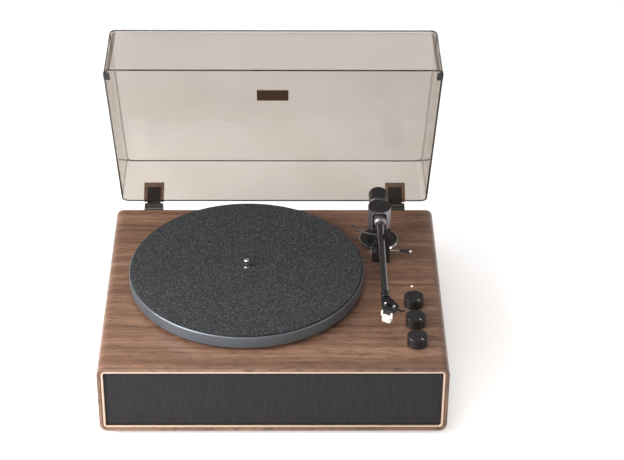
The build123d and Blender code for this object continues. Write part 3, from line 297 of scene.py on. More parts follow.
metal = {"Metallic": 1.0}
finishes = {
    # anodised extrusion, drawn along its length: a warm champagne sheen that never mirrors
    "champagne_trim": {
        "name": "champagneAnodisedAluminium", "colours": ("#BFA692", "#D2BCA8"), "roughness": (0.30, 0.42),
        "grain": 0.5, "stretch": (0.06, 1, 0.3), "shader": metal,
    },
    # hot-pressed board: brown flecks, dull
    "fibreboard": {
        "name": "rawFibreboard", "colours": ("#8A6B4E", "#A88B68"), "roughness": (0.8, 0.95),
        "grain": 1.2, "relief": 0.05, "uneven": 0.15,
    },
    # sprayed and baked enamel on pressed steel: a soft orange-peel gloss
    "black_steel": {
        "name": "blackEnamelledSteel", "colours": ("#141314", "#1E1C1D"), "roughness": (0.24, 0.34),
        "grain": 1.6, "relief": 0.01,
    },
    # pressed paper pulp: matt and slightly fibrous
    "speaker_paper": {
        "name": "pressedPaperCone", "colours": ("#1B1A1A", "#2B2928"), "roughness": (0.8, 0.95),
        "grain": 0.9, "relief": 0.04,
    },
    # sintered ferrite: grey-black and granular
    "ferrite": {
        "name": "groundFerrite", "colours": ("#2E2E30", "#414143"), "roughness": (0.5, 0.7),
        "grain": 0.8, "relief": 0.02,
    },
    # spark-eroded ABS: an even fine leather-like stipple
    "black_panel": {
        "name": "sparkErodedBlackAbs", "colours": ("#1A1A1C", "#242426"), "roughness": (0.45, 0.62),
        "grain": 0.7, "relief": 0.03,
    },
    # nickel over brass: a warm white metal
    "socket_metal": {
        "name": "nickelPlatedBrass", "colours": ("#C9C2B4", "#DAD5CA"), "roughness": (0.16, 0.26),
        "grain": 0.6, "relief": 0.002, "shader": metal,
    },
    # turned and zinc-washed steel: plain grey with a soft shine
    "plain_steel": {
        "name": "turnedSteel", "colours": ("#8E8E90", "#A5A5A8"), "roughness": (0.25, 0.4),
        "grain": 0.5, "relief": 0.004, "shader": metal,
    },
    # moulded rubber: matt, a faint bloom
    "black_rubber": {
        "name": "mouldedBlackRubber", "colours": ("#191919", "#262525"), "roughness": (0.7, 0.88),
        "grain": 0.9, "relief": 0.02,
    },
    # turned brass: yellow, with lathe lines
    "bearing_brass": {
        "name": "turnedBrass", "colours": ("#B08F4B", "#C7A65E"), "roughness": (0.2, 0.34),
        "grain": 0.5, "relief": 0.004, "shader": metal,
    },
    # ground and polished steel: pale, with soft bright reflections and hairline scratches
    "polished_steel": {
        "name": "polishedSteel", "colours": ("#E4E4E6", "#F0F0F2"), "roughness": (0.2, 0.32),
        "grain": 0.7, "stretch": (1, 1, 0.1), "relief": 0.001, "shader": metal,
    },
    # satin ABS moulding: near black with a soft bloom on its edges
    "black_moulding": {
        "name": "satinBlackAbs", "colours": ("#161517", "#1F1E20"), "roughness": (0.24, 0.34),
        "grain": 0.6, "relief": 0.004, "shader": {"Coat Weight": 0.3, "Coat Roughness": 0.12},
    },
    # bright chrome on a turned ring: close to a mirror
    "polished_chrome": {
        "name": "polishedChrome", "colours": ("#D8D6D8", "#E8E6E8"), "roughness": (0.05, 0.1),
        "grain": 0.8, "relief": 0.001, "shader": metal,
    },
    # dark bronze plate, brushed from side to side: a muted brown sheen
    "bronze_plate": {
        "name": "brushedBronze", "colours": ("#6B5543", "#8C7460"), "roughness": (0.35, 0.5),
        "grain": 0.5, "stretch": (0.05, 1, 1), "relief": 0.004, "shader": {"Metallic": 0.35},
    },
    # turned casting under silver-grey lacquer: bright where the light strikes, slate grey away from it
    "cast_aluminium": {
        "name": "lacqueredCastAluminium", "colours": ("#5C6269", "#71777E"), "roughness": (0.32, 0.42),
        "grain": 0.9, "turned": platterCentre, "relief": 0.006, "shader": {"Metallic": 0.55},
    },
    # bead-blasted, clear anodised: a grey satin with a violet cast
    "satin_aluminium": {
        "name": "beadBlastedAluminium", "colours": ("#958F96", "#A9A3A9"), "roughness": (0.4, 0.52),
        "grain": 0.4, "relief": 0.006, "shader": metal,
    },
    # black anodised plate: charcoal with a faint metal sheen
    "black_anodised": {
        "name": "blackAnodisedAluminium", "colours": ("#232325", "#303033"), "roughness": (0.3, 0.42),
        "grain": 0.5, "relief": 0.005, "shader": {"Metallic": 0.6},
    },
    # several coats of black lacquer on a drawn tube: deep gloss with long streaks of light
    "black_lacquer": {
        "name": "blackLacqueredTube", "colours": ("#0E0E10", "#151517"), "roughness": (0.16, 0.24),
        "grain": 2.5, "relief": 0.003, "shader": {"Coat Weight": 1.0, "Coat Roughness": 0.08},
    },
    # moulded cartridge shell: charcoal and satin
    "cartridge_shell": {
        "name": "mouldedCartridgeShell", "colours": ("#1A1A1C", "#252527"), "roughness": (0.35, 0.5),
        "grain": 0.5, "relief": 0.01,
    },
    # ivory acetal: waxy and slightly translucent
    "white_moulding": {
        "name": "ivoryAcetal", "colours": ("#EFE9D6", "#F8F3E4"), "roughness": (0.3, 0.4),
        "grain": 0.8, "relief": 0.004,
        "shader": {"Subsurface Weight": 0.15, "Subsurface Scale": 0.001},
    },
    # satin black powder coat on a turned slug
    "weight_metal": {
        "name": "powderCoatedSlug", "colours": ("#171618", "#222023"), "roughness": (0.34, 0.46),
        "grain": 0.5, "relief": 0.012, "shader": {"Coat Weight": 0.1, "Coat Roughness": 0.3},
    },
    # dipped rod: rubbery, with a long soft highlight
    "rubbered_bar": {
        "name": "dippedRubberRod", "colours": ("#2A2727", "#383434"), "roughness": (0.3, 0.42),
        "grain": 0.8, "relief": 0.006,
    },
}
materials = {slot: grainedFinish(recipe) for slot, recipe in finishes.items()}


# Walnut: one sheet of veneer wrapped round the box, grain across the top and up the sides

walnutSet = {
    "bandStops": [(noiseLow, "#674A3B"), (0.5, "#7E5E4B"), (0.68, "#987560")],
    "lineStops": [(noiseLow, "#B3A49E"), (0.62, "#FFFFFF")], "lineShare": 0.75,
    "pore": "#443027",
    # length and width of a mark, then the detail and roughness of its noise
    "figure": (300, 7, 3.0, 0.55),  # light and dark bands
    "line": (70, 1.3, 4.0, 0.65),  # growth lines
    "dash": (13, 0.9, 2.0, 0.5),  # pores; real ones are 0.2 wide, too fine to show
    "wave": (38, 2.2),  # how long and how far the lines wander
    "gloss": (0.34, 0.5),
    "poreCut": (0.36, 0.44), "poreDepth": 0.75, "poreRelief": 0.05,
}
# thin lacquer over open pores gives a satin sheen that breaks along the grain
materials["walnut_veneer"], tree = newMaterial("lacqueredWalnutVeneer")
coords = addNode(tree, "ShaderNodeTexCoord")
waveLength, waveHeight = walnutSet["wave"]
wander = addNode(
    tree, "ShaderNodeTexNoise", {"Scale": 1 / (waveLength * mm), "Detail": 2.0},
    {"Vector": coords.outputs["Object"]},
)
offset = addNode(
    tree, "ShaderNodeMapRange", {1: 0.2, 2: 0.8, 3: -waveHeight * mm, 4: waveHeight * mm},
    {0: wander.outputs["Fac"]},
)
sideways = addNode(tree, "ShaderNodeCombineXYZ", links={1: offset.outputs[0]})
grainPlace = addNode(
    tree, "ShaderNodeVectorMath", links={0: coords.outputs["Object"], 1: sideways.outputs[0]},
    operation="ADD",
).outputs[0]
patterns = {}
for name in ("figure", "line", "dash"):
    length, width, detail, roughness = walnutSet[name]
    # the veneer turns down the sides, so its grain is long in X and Z and short only in Y
    stretched = addNode(
        tree, "ShaderNodeMapping",
        {"Scale": (1 / (length * mm), 1 / (width * mm), 1 / (length * mm))}, {"Vector": grainPlace},
    )
    patterns[name] = addNode(
        tree, "ShaderNodeTexNoise", {"Scale": 1.0, "Detail": detail, "Roughness": roughness},
        {"Vector": stretched.outputs[0]},
    ).outputs["Fac"]
bandColour = addNode(
    tree, "ShaderNodeValToRGB", links={0: patterns["figure"]}, stops=walnutSet["bandStops"]
)
lineColour = addNode(
    tree, "ShaderNodeValToRGB", links={0: patterns["line"]}, stops=walnutSet["lineStops"]
)
banded = addNode(
    tree, "ShaderNodeMix", {0: walnutSet["lineShare"]},
    {6: bandColour.outputs[0], 7: lineColour.outputs[0]},
    data_type="RGBA", blend_type="MULTIPLY",
)
poreLow, poreHigh = walnutSet["poreCut"]
poreMask = addNode(
    tree, "ShaderNodeMapRange", {1: poreLow, 2: poreHigh, 3: walnutSet["poreDepth"], 4: 0.0},
    {0: patterns["dash"]},
)
veneer = addNode(
    tree, "ShaderNodeMix", {7: toLinear(walnutSet["pore"])},
    {0: poreMask.outputs[0], 6: banded.outputs[2]}, data_type="RGBA",
)
glossLow, glossHigh = walnutSet["gloss"]
sheen = addNode(
    tree, "ShaderNodeMapRange", {1: noiseLow, 2: noiseHigh, 3: glossHigh, 4: glossLow},
    {0: patterns["line"]},
)
openPores = addNode(
    tree, "ShaderNodeBump", {"Strength": 0.6, "Distance": walnutSet["poreRelief"] * mm},
    {"Height": patterns["dash"]},
)
wood = addNode(
    tree, "ShaderNodeBsdfPrincipled",
    {"Coat Weight": 0.25, "Coat Roughness": 0.28, "Specular IOR Level": 0.4},
    {"Base Color": veneer.outputs[2], "Roughness": sheen.outputs[0], "Normal": openPores.outputs[0]},
)
addNode(tree, "ShaderNodeOutputMaterial", links={"Surface": wood.outputs[0]})


# Felt: pressed charcoal wool, quite matt, speckled with paler and darker fibres

feltSet = {
    "base": ("#1E1E20", "#29292B"), "fleck": "#5C5D60", "speck": "#0F0F10",
    "tuft": 5.0, "fleckSize": 1.8,  # real flecks are 1 across, too fine for the picture
    "paleCut": (0.53, 0.66), "darkCut": (0.34, 0.47), "cover": 0.8, "relief": 0.25,
}
materials["felt_mat"], tree = newMaterial("pressedWoolFelt")
coords = addNode(tree, "ShaderNodeTexCoord")
tuft = addNode(
    tree, "ShaderNodeTexNoise", {"Scale": 1 / (feltSet["tuft"] * mm), "Detail": 5.0, "Roughness": 0.7},
    {"Vector": coords.outputs["Object"]},
)
fleck = addNode(
    tree, "ShaderNodeTexNoise",
    {"Scale": 1 / (feltSet["fleckSize"] * mm), "Detail": 3.0, "Roughness": 0.7},
    {"Vector": coords.outputs["Object"]},
)
woolColour = addNode(
    tree, "ShaderNodeValToRGB", links={0: tuft.outputs["Fac"]},
    stops=[(noiseLow, feltSet["base"][0]), (noiseHigh, feltSet["base"][1])],
)
cutLow, cutHigh = feltSet["paleCut"]
paleMask = addNode(
    tree, "ShaderNodeMapRange", {1: cutLow, 2: cutHigh, 3: 0.0, 4: feltSet["cover"]},
    {0: fleck.outputs["Fac"]},
)
cutLow, cutHigh = feltSet["darkCut"]
darkMask = addNode(
    tree, "ShaderNodeMapRange", {1: cutLow, 2: cutHigh, 3: feltSet["cover"], 4: 0.0},
    {0: fleck.outputs["Fac"]},
)
pale = addNode(
    tree, "ShaderNodeMix", {7: toLinear(feltSet["fleck"])},
    {0: paleMask.outputs[0], 6: woolColour.outputs[0]}, data_type="RGBA",
)
speckled = addNode(
    tree, "ShaderNodeMix", {7: toLinear(feltSet["speck"])},
    {0: darkMask.outputs[0], 6: pale.outputs[2]}, data_type="RGBA",
)
nap = addNode(
    tree, "ShaderNodeBump", {"Strength": 0.8, "Distance": feltSet["relief"] * mm},
    {"Height": fleck.outputs["Fac"]},
)
wool = addNode(
    tree, "ShaderNodeBsdfPrincipled",
    {"Roughness": 0.95, "Sheen Weight": 0.08, "Sheen Roughness": 0.5, "Specular IOR Level": 0.2},
    {"Base Color": speckled.outputs[2], "Normal": nap.outputs[0]},
)
addNode(tree, "ShaderNodeOutputMaterial", links={"Surface": wool.outputs[0]})


# Speaker cloth: plain weave of near-black yarn, matt

clothSet = {
    "thread": 1.3,  # twice the real spacing, so that the weave shows in the picture
    "relief": 0.12,
    "stops": [(0.05, "#171517"), (0.6, "#322F33")],  # painted shade in the gaps between threads, lightening to their tops
    "slub": (1.8, 26),  # width and length of a thick run in the yarn
}
materials["grille_cloth"], tree = newMaterial("wovenSpeakerCloth")
coords = addNode(tree, "ShaderNodeTexCoord")
split = addNode(tree, "ShaderNodeSeparateXYZ", links={0: coords.outputs["Object"]})
waves = []
for axis in (0, 2):
    turns = addNode(
        tree, "ShaderNodeMath", {1: math.tau / (clothSet["thread"] * mm)}, {0: split.outputs[axis]},
        operation="MULTIPLY",
    )
    wave = addNode(tree, "ShaderNodeMath", links={0: turns.outputs[0]}, operation="SINE")
    waves.append(wave.outputs[0])
crossing = addNode(tree, "ShaderNodeMath", links={0: waves[0], 1: waves[1]}, operation="MULTIPLY")
slubWidth, slubLength = clothSet["slub"]
alongYarn = addNode(
    tree, "ShaderNodeMapping", {"Scale": (1 / (slubWidth * mm), 1, 1 / (slubLength * mm))},
    {"Vector": coords.outputs["Object"]},
)
slub = addNode(
    tree, "ShaderNodeTexNoise", {"Scale": 1.0, "Detail": 2.0}, {"Vector": alongYarn.outputs[0]}
)
raised = addNode(
    tree, "ShaderNodeMapRange", {1: -1.0, 2: 1.0, 3: 0.0, 4: 1.0}, {0: crossing.outputs[0]}
)
uneven = addNode(
    tree, "ShaderNodeMath", links={0: raised.outputs[0], 1: slub.outputs["Fac"]}, operation="MULTIPLY"
)
# painted shade: the yarn's colour darkens where the weave sinks between threads
yarn = addNode(
    tree, "ShaderNodeValToRGB", links={0: uneven.outputs[0]}, stops=clothSet["stops"]
)
weave = addNode(
    tree, "ShaderNodeBump", {"Strength": 0.7, "Distance": clothSet["relief"] * mm},
    {"Height": raised.outputs[0]},
)
cloth = addNode(
    tree, "ShaderNodeBsdfPrincipled",
    {"Roughness": 0.85, "Sheen Weight": 0.15, "Sheen Roughness": 0.4, "Specular IOR Level": 0.25},
    {"Base Color": yarn.outputs[0], "Normal": weave.outputs[0]},
)
addNode(tree, "ShaderNodeOutputMaterial", links={"Surface": cloth.outputs[0]})


# Smoked acrylic: clear brown-grey sheet, darker where the eye looks along the wall

def smokedAcrylic(recipe):
    # each wall is two surfaces, so a colour here acts twice on what is seen through it
    material, tree = newMaterial(recipe["name"])
    coords = addNode(tree, "ShaderNodeTexCoord")
    haze = addNode(
        tree, "ShaderNodeTexNoise", {"Scale": 1 / (recipe["haze"] * mm), "Detail": 2.0},
        {"Vector": coords.outputs["Object"]},
    )
    slant = addNode(tree, "ShaderNodeLayerWeight", {"Blend": 0.5})
    darkens, darkest = 0.8, 0.99  # how far a wall turns from the eye, where 1 is edge on
    depth = addNode(
        tree, "ShaderNodeValToRGB", links={0: slant.outputs["Facing"]},
        stops=[(darkens, recipe["facing"]), (darkest, recipe["along"])],
    )
    cloudy = addNode(
        tree, "ShaderNodeValToRGB", links={0: haze.outputs["Fac"]},
        stops=[(noiseLow, recipe["cloud"]), (noiseHigh, "#FFFFFF")],
    )
    smoke = addNode(
        tree, "ShaderNodeMix", {0: 1.0}, {6: depth.outputs[0], 7: cloudy.outputs[0]},
        data_type="RGBA", blend_type="MULTIPLY",
    )
    through = addNode(tree, "ShaderNodeBsdfTransparent", links={"Color": smoke.outputs[2]})
    smooth, rough = recipe["polish"]
    polish = addNode(
        tree, "ShaderNodeMapRange", {1: noiseLow, 2: noiseHigh, 3: smooth, 4: rough},
        {0: haze.outputs["Fac"]},
    )
    shine = addNode(
        tree, "ShaderNodeBsdfAnisotropic", {"Color": (1, 1, 1, 1)}, {"Roughness": polish.outputs[0]}
    )
    # gloss climbs with the fifth power of the slant, as on any clear sheet
    steep = addNode(tree, "ShaderNodeMath", {1: 5.0}, {0: slant.outputs["Facing"]}, operation="POWER")
    edgeGloss = addNode(tree, "ShaderNodeMapRange", {3: recipe["shine"], 4: 1.0}, {0: steep.outputs[0]})
    acrylic = addNode(
        tree, "ShaderNodeMixShader",
        links={0: edgeGloss.outputs[0], 1: through.outputs[0], 2: shine.outputs[0]},
    )
    addNode(tree, "ShaderNodeOutputMaterial", links={"Surface": acrylic.outputs[0]})
    return material


materials["smoked_acrylic"] = smokedAcrylic({
    "name": "smokedClearAcrylic", "facing": "#DEDAD6", "along": "#C4BBB2", "cloud": "#FCFBFA", "haze": 80,
    "shine": 0.04,  # acrylic mirrors 4% of what strikes it squarely
    "polish": (0.09, 0.12),
})  # cast sheet, flame-polished: a faint brown-grey veil with soft reflections
hingeAcrylic = smokedAcrylic({
    "name": "brownClearPolycarbonate", "facing": "#AE9C8F", "along": "#5C4A40", "cloud": "#F4EFEB",
    "haze": 12, "shine": 0.05, "polish": (0.09, 0.12),
})  # thick moulded blocks, so much browner than the sheet


# Lamp lens and circuit board

lensSet = {"milk": 0.8, "low": "#FFD9CC", "high": "#FFF1EA", "glow": 0.7}
materials["lamp_lens"], tree = newMaterial("litPolycarbonateLens")  # milky lens over a lit lamp
coords = addNode(tree, "ShaderNodeTexCoord")
milk = addNode(
    tree, "ShaderNodeTexNoise", {"Scale": 1 / (lensSet["milk"] * mm), "Detail": 2.0},
    {"Vector": coords.outputs["Object"]},
)
glowColour = addNode(
    tree, "ShaderNodeValToRGB", links={0: milk.outputs["Fac"]},
    stops=[(noiseLow, lensSet["low"]), (noiseHigh, lensSet["high"])],
)
lens = addNode(
    tree, "ShaderNodeBsdfPrincipled", {"Roughness": 0.2, "Emission Strength": lensSet["glow"]},
    {"Base Color": glowColour.outputs[0], "Emission Color": glowColour.outputs[0]},
)
addNode(tree, "ShaderNodeOutputMaterial", links={"Surface": lens.outputs[0]})

boardSet = {
    "track": 8,  # the pattern's unit; its blocks come out 4 long and 2 wide
    "low": "#1F5A33", "high": "#276B3D", "gap": "#143F24", "gapShare": 0.06, "relief": 0.05,
}
materials["circuit_board"], tree = newMaterial("solderMaskedBoard")  # satin green over copper tracks
coords = addNode(tree, "ShaderNodeTexCoord")
tracks = addNode(
    tree, "ShaderNodeTexBrick",
    {"Color1": toLinear(boardSet["low"]), "Color2": toLinear(boardSet["high"]),
     "Mortar": toLinear(boardSet["gap"]), "Scale": 1 / (boardSet["track"] * mm),
     "Mortar Size": boardSet["gapShare"]},
    {"Vector": coords.outputs["Object"]},
)
mask = addNode(
    tree, "ShaderNodeBump", {"Strength": 0.5, "Distance": boardSet["relief"] * mm},
    {"Height": tracks.outputs["Fac"]},
)
board = addNode(
    tree, "ShaderNodeBsdfPrincipled", {"Roughness": 0.35},
    {"Base Color": tracks.outputs["Color"], "Normal": mask.outputs[0]},
)
addNode(tree, "ShaderNodeOutputMaterial", links={"Surface": board.outputs[0]})

for part in frame["record"]["subparts"]:
    mesh = nodes[part["node"]].data
    mesh.materials.clear()
    mesh.materials.append(materials[part["material_slot"]])
nodes["hinge_sockets"].data.materials[0] = hingeAcrylic
print("materials made:", len(materials))


# Felt mat: a pressed disc with a soft edge, laid in the platter

matSet = {
    "radius": 147.5, "hole": 4.1, "low": 116.25, "high": 118.25, "centre": platterCentre,
    "edge": 0.7, "ringStep": 2.0, "steps": 220,
    "nap": 0.07, "napSize": 3,  # how deep and how wide the felt's soft hollows are
}
edge = matSet["edge"]
flatPart = matSet["radius"] - matSet["hole"] - 2 * edge
rings = int(flatPart / matSet["ringStep"])
topRow = [(matSet["hole"] + edge + i * flatPart / rings, matSet["high"]) for i in range(rings + 1)]
roundedEdge = [
    (matSet["radius"] - edge * (1 - math.sin(a)), matSet["high"] - edge * (1 - math.cos(a)))
    for a in (math.pi / 6, math.pi / 3, math.pi / 2)
]
inside = [(matSet["hole"], matSet["low"]), (matSet["hole"], matSet["high"] - edge)]
bm = spun(
    inside + topRow + roundedEdge + [(matSet["radius"], matSet["low"])], matSet["centre"],
    steps=matSet["steps"],
)
topFaceLimit = (matSet["high"] - 0.05) * mm  # lower points belong to the rounded edge
for vert in bm.verts:
    if vert.co.z > topFaceLimit:
        hollow = 0.5 + 0.5 * noise.noise(vert.co / (matSet["napSize"] * mm))
        vert.co.z -= matSet["nap"] * mm * hollow
feltMat = pieceFrom(bm, "feltMat", "platter", materials["felt_mat"])
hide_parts("platter_mat")


# Speaker cloth, stretched over its frame and turned back round the edges

grilleSet = {"turnBack": 3.0, "round": 0.8, "cell": 4.0}
low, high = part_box("grille_panel")
width, height = high.x - low.x, high.z - low.z
bm = bmesh.new()
bmesh.ops.create_grid(
    bm, x_segments=int(width / mm / grilleSet["cell"]), y_segments=int(height / mm / grilleSet["cell"]),
    size=0.5,
)
bmesh.ops.scale(bm, verts=bm.verts, vec=(width, height, 1))
bmesh.ops.rotate(bm, verts=bm.verts, cent=(0, 0, 0), matrix=Matrix.Rotation(math.pi / 2, 3, "X"))
bmesh.ops.translate(bm, verts=bm.verts, vec=((low.x + high.x) / 2, low.y, (low.z + high.z) / 2))
border = [e for e in bm.edges if e.is_boundary]
turnedBack = vertsOf(bmesh.ops.extrude_edge_only(bm, edges=border)["geom"])
bmesh.ops.translate(bm, verts=turnedBack, vec=(0, grilleSet["turnBack"] * mm, 0))
fold = [e for e in bm.edges if not e.is_boundary and e.calc_face_angle(0) > 1]  # bent over a radian
bmesh.ops.bevel(
    bm, geom=fold, offset=grilleSet["round"] * mm, segments=3, affect="EDGES", profile=0.5, material=-1
)
grilleCloth = pieceFrom(bm, "grilleCloth", "cabinet", materials["grille_cloth"], sharp=80)
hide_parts("grille_panel")
print("soft pieces made")


# Painted index line in each knob's groove

indexSet = {
    "x": 176.7, "ys": {"volume_knob": -43, "mode_knob": -84, "speed_knob": -124.6}, "top": 109.5,
    "radius": 9.75, "angle": -56, "size": (3.3, 0.7, 0.2), "corner": 0.3, "depth": 0.06,
}
materials["ink"] = grainedFinish({
    "name": "whiteScreenInk", "colours": ("#E6E3DF", "#F4F2EF"), "roughness": (0.4, 0.55),
    "grain": 0.4, "relief": 0.004,
})  # printed marks: flat white, slightly chalky
for body, y in indexSet["ys"].items():
    bm = bmesh.new()
    bmesh.ops.create_cube(bm, size=mm)
    bmesh.ops.scale(bm, verts=bm.verts, vec=indexSet["size"])
    upright = [e for e in bm.edges if abs(e.verts[0].co.z - e.verts[1].co.z) > mm / 100]
    bmesh.ops.bevel(
        bm, geom=upright, offset=indexSet["corner"] * mm, segments=3, affect="EDGES", profile=0.5,
        material=-1,
    )
    out = (indexSet["radius"] * mm, 0, -indexSet["size"][2] / 2 * mm)
    bmesh.ops.translate(bm, verts=bm.verts, vec=out)
    turn = Matrix.Rotation(math.radians(indexSet["angle"]), 3, "Z")
    bmesh.ops.rotate(bm, verts=bm.verts, cent=(0, 0, 0), matrix=turn)
    place = Vector((indexSet["x"], y, indexSet["top"] - indexSet["depth"])) * mm
    bmesh.ops.translate(bm, verts=bm.verts, vec=place)
    pieceFrom(bm, body.replace("_knob", "Index"), body, materials["ink"])


# Force dial: a scale of ticks and plain numbers on the face towards the headshell

dialSet = {
    "centre": (138, 122, 138.5), "ticks": 40, "outer": 11.2, "long": 1.7, "short": 1.0, "wide": 0.28,
    "thick": 0.06, "numbers": 8, "numberRadius": 8.4, "numberSize": 2.3,
}


def dialTick(i):
    length = dialSet["long"] if i % 5 == 0 else dialSet["short"]  # every fifth tick is long
    return (dialSet["wide"], dialSet["thick"], length), (0, 0, dialSet["outer"] - length / 2)


bm = barsRound(dialSet["centre"], dialSet["ticks"], dialTick)
pieceFrom(bm, "dialTicks", "force_dial", materials["ink"])

bm = bmesh.new()
for i in range(dialSet["numbers"]):
    figure = bpy.data.curves.new("figure", "FONT")
    figure.body = str(i // 2) if i % 2 == 0 else "."  # numbers with a dot between them
    figure.size = dialSet["numberSize"] * mm
    figure.extrude = dialSet["thick"] / 2 * mm
    figure.align_x = "CENTER"
    figure.align_y = "CENTER"
    figureObject = bpy.data.objects.new("figure", figure)
    scene.collection.objects.link(figureObject)
    made = bpy.data.meshes.new_from_object(figureObject)
    made.transform(
        Matrix.Translation(Vector(dialSet["centre"]) * mm)
        @ Matrix.Rotation(math.tau * i / dialSet["numbers"], 4, "Y")
        @ Matrix.Translation((0, 0, dialSet["numberRadius"] * mm))
        @ Matrix.Rotation(math.pi / 2, 4, "X")
    )
    bm.from_mesh(made)
    bpy.data.objects.remove(figureObject)
    bpy.data.curves.remove(figure)
    bpy.data.meshes.remove(made)
pieceFrom(bm, "dialNumbers", "force_dial", materials["ink"])
print("knobs and force dial marked")


# Counterweight: fine ribs round its back for grip

ribSet = {
    "centre": armLine, "start": 141.0, "end": 147.6, "radius": 12.5, "wide": 0.5, "proud": 0.14,
    "count": 72,
}
ribSize = (ribSet["wide"], ribSet["end"] - ribSet["start"], 2 * ribSet["proud"])
ribPlace = (0, (ribSet["start"] + ribSet["end"]) / 2, ribSet["radius"])
bm = barsRound(ribSet["centre"], ribSet["count"], lambda i: (ribSize, ribPlace))
pieceFrom(bm, "weightRibs", "counterweight", materials["weight_metal"])


# Bright turned bands on the arm's collar, and a black ring where the headshell plugs in

bandSet = {
    "centre": armLine, "soft": 0.12, "steps": 48,
    "bands": {  # from, to, inner and outer radius, finish
        "collarBandFront": (78.6, 79.8, 7.3, 7.72, "socket_metal"),
        "collarBandBack": (90.5, 91.3, 7.3, 7.66, "socket_metal"),
        "headSocketRing": (-80.5, -79.2, 5.2, 5.52, "black_moulding"),
    },
}
soft = bandSet["soft"]
for name, (start, end, inner, outer, finish) in bandSet["bands"].items():
    profile = [
        (inner, start), (outer - soft, start), (outer, start + soft), (outer, end - soft),
        (outer - soft, end), (inner, end),
    ]
    bm = spun(profile, bandSet["centre"], axis="Y", steps=bandSet["steps"])
    pieceFrom(bm, name, "tonearm", materials[finish])


# Cue lever: a pale turned tip beyond the grip

tipSet = {
    "tip": (178.4, 52.82, 112.0), "along": (15.9, -8.4, 4.5), "sunk": 2.1, "steps": 32,
    "profile": [(1.12, 0), (1.55, 0), (1.75, 0.25), (1.75, 1.32), (1.3125, 2.088), (1.12, 2.4)],
    "ball": 1.3, "ballAt": 1.488,  # the rounded end, and how far along it sits
}
tipFinish = grainedFinish({
    "name": "satinNickelTip", "colours": ("#E2D5D2", "#F1E7E4"), "roughness": (0.25, 0.35), "grain": 0.4,
    "relief": 0.002, "shader": {"Metallic": 0.7},
})  # pale metal, a small bright point at the lever's end
bm = spun(tipSet["profile"], (0, 0, 0), steps=tipSet["steps"])
bmesh.ops.create_uvsphere(
    bm, u_segments=24, v_segments=12, radius=tipSet["ball"] * mm,
    matrix=Matrix.Translation((0, 0, tipSet["ballAt"] * mm)),
)
leverLine = Vector(tipSet["along"]).normalized()
turn = Vector((0, 0, 1)).rotation_difference(leverLine).to_matrix()
bmesh.ops.rotate(bm, verts=bm.verts, cent=(0, 0, 0), matrix=turn)
place = (Vector(tipSet["tip"]) - leverLine * tipSet["sunk"]) * mm
bmesh.ops.translate(bm, verts=bm.verts, vec=place)
pieceFrom(bm, "leverTip", "cue_lever", tipFinish)
print("arm pieces made")


# Pieces on the cover are made flat, then turned with it: x right, y towards the hinge, z through its top

coverSet = {
    "hinge": (0, 185.6, 92.2), "open": 61.9, "centre": -174.35, "width": 413.4, "depth": 328.5,
    "edge": 5.3, "top": 67.7, "draft": 4.84, "corner": 9,
}
toCover = (
    Matrix.Translation(Vector(coverSet["hinge"]) * mm)
    @ Matrix.Rotation(-math.radians(coverSet["open"]), 4, "X")
)


def flatRing(bm, width, depth, corner, rim, centre, low, height):
    # a rounded rectangle's border, raised by its height
    made = bmesh.ops.create_grid(bm, x_segments=1, y_segments=1, size=0.5)["verts"]
    bmesh.ops.scale(bm, verts=made, vec=(width * mm, depth * mm, 1))
    bmesh.ops.bevel(
        bm, geom=made, offset=corner * mm, segments=6, affect="VERTICES", profile=0.5, material=-1
    )
    plate = max(bm.faces, key=lambda face: face.calc_area())
    border = bmesh.ops.inset_region(
        bm, faces=[plate], thickness=rim * mm, use_boundary=True, use_even_offset=True
    )["faces"]
    bmesh.ops.delete(bm, geom=[plate], context="FACES")
    raised = thicken(bm, border, height)
    whole = list({v for face in border for v in face.verts} | set(raised))
    bmesh.ops.translate(bm, verts=whole, vec=Vector((centre[0], centre[1], low)) * mm)


def coverPiece(bm, name, material):
    bmesh.ops.transform(bm, matrix=toCover, verts=bm.verts)
    pieceFrom(bm, name, "cover", material)


# Badge: a raised bead round the bare bronze plate
beadSet = {"centre": (-2, -180), "size": (41, 24), "corner": 1, "bead": 0.7, "low": 68.6, "height": 0.5}
bm = bmesh.new()
flatRing(
    bm, *beadSet["size"], beadSet["corner"], beadSet["bead"], beadSet["centre"], beadSet["low"],
    beadSet["height"],
)
coverPiece(bm, "badgeBead", materials["bronze_plate"])

# Painted shade: fine dark strips along the sheet's free edge and down its corners, where light gathers in
# the walls and shows as dark lines
shadeLineSet = {
    "rimSink": 0.05, "rimTall": 0.8, "rimWide": 2.2, "rimInset": 0.2,
    "line": 1.2, "sink": 0.1, "topFillet": 2.5, "underFillet": 0.2, "pastCorner": 2, "endGap": 1,
}
edgeShadeFinish = grainedFinish({
    "name": "paintedShadeAcrylicEdge", "colours": ("#1B1512", "#27201C"), "roughness": (0.4, 0.5), "grain": 1.2,
    "relief": 0.004,
})  # very dark brown with a soft shine, painted shade for the sheet's edges and corners
bm = bmesh.new()
flatRing(
    bm, coverSet["width"] - shadeLineSet["rimInset"], coverSet["depth"] - shadeLineSet["rimInset"],
    coverSet["corner"], shadeLineSet["rimWide"], (0, coverSet["centre"]),
    coverSet["edge"] + shadeLineSet["rimSink"], shadeLineSet["rimTall"],
)
coverPiece(bm, "coverRimShadeLine", edgeShadeFinish)
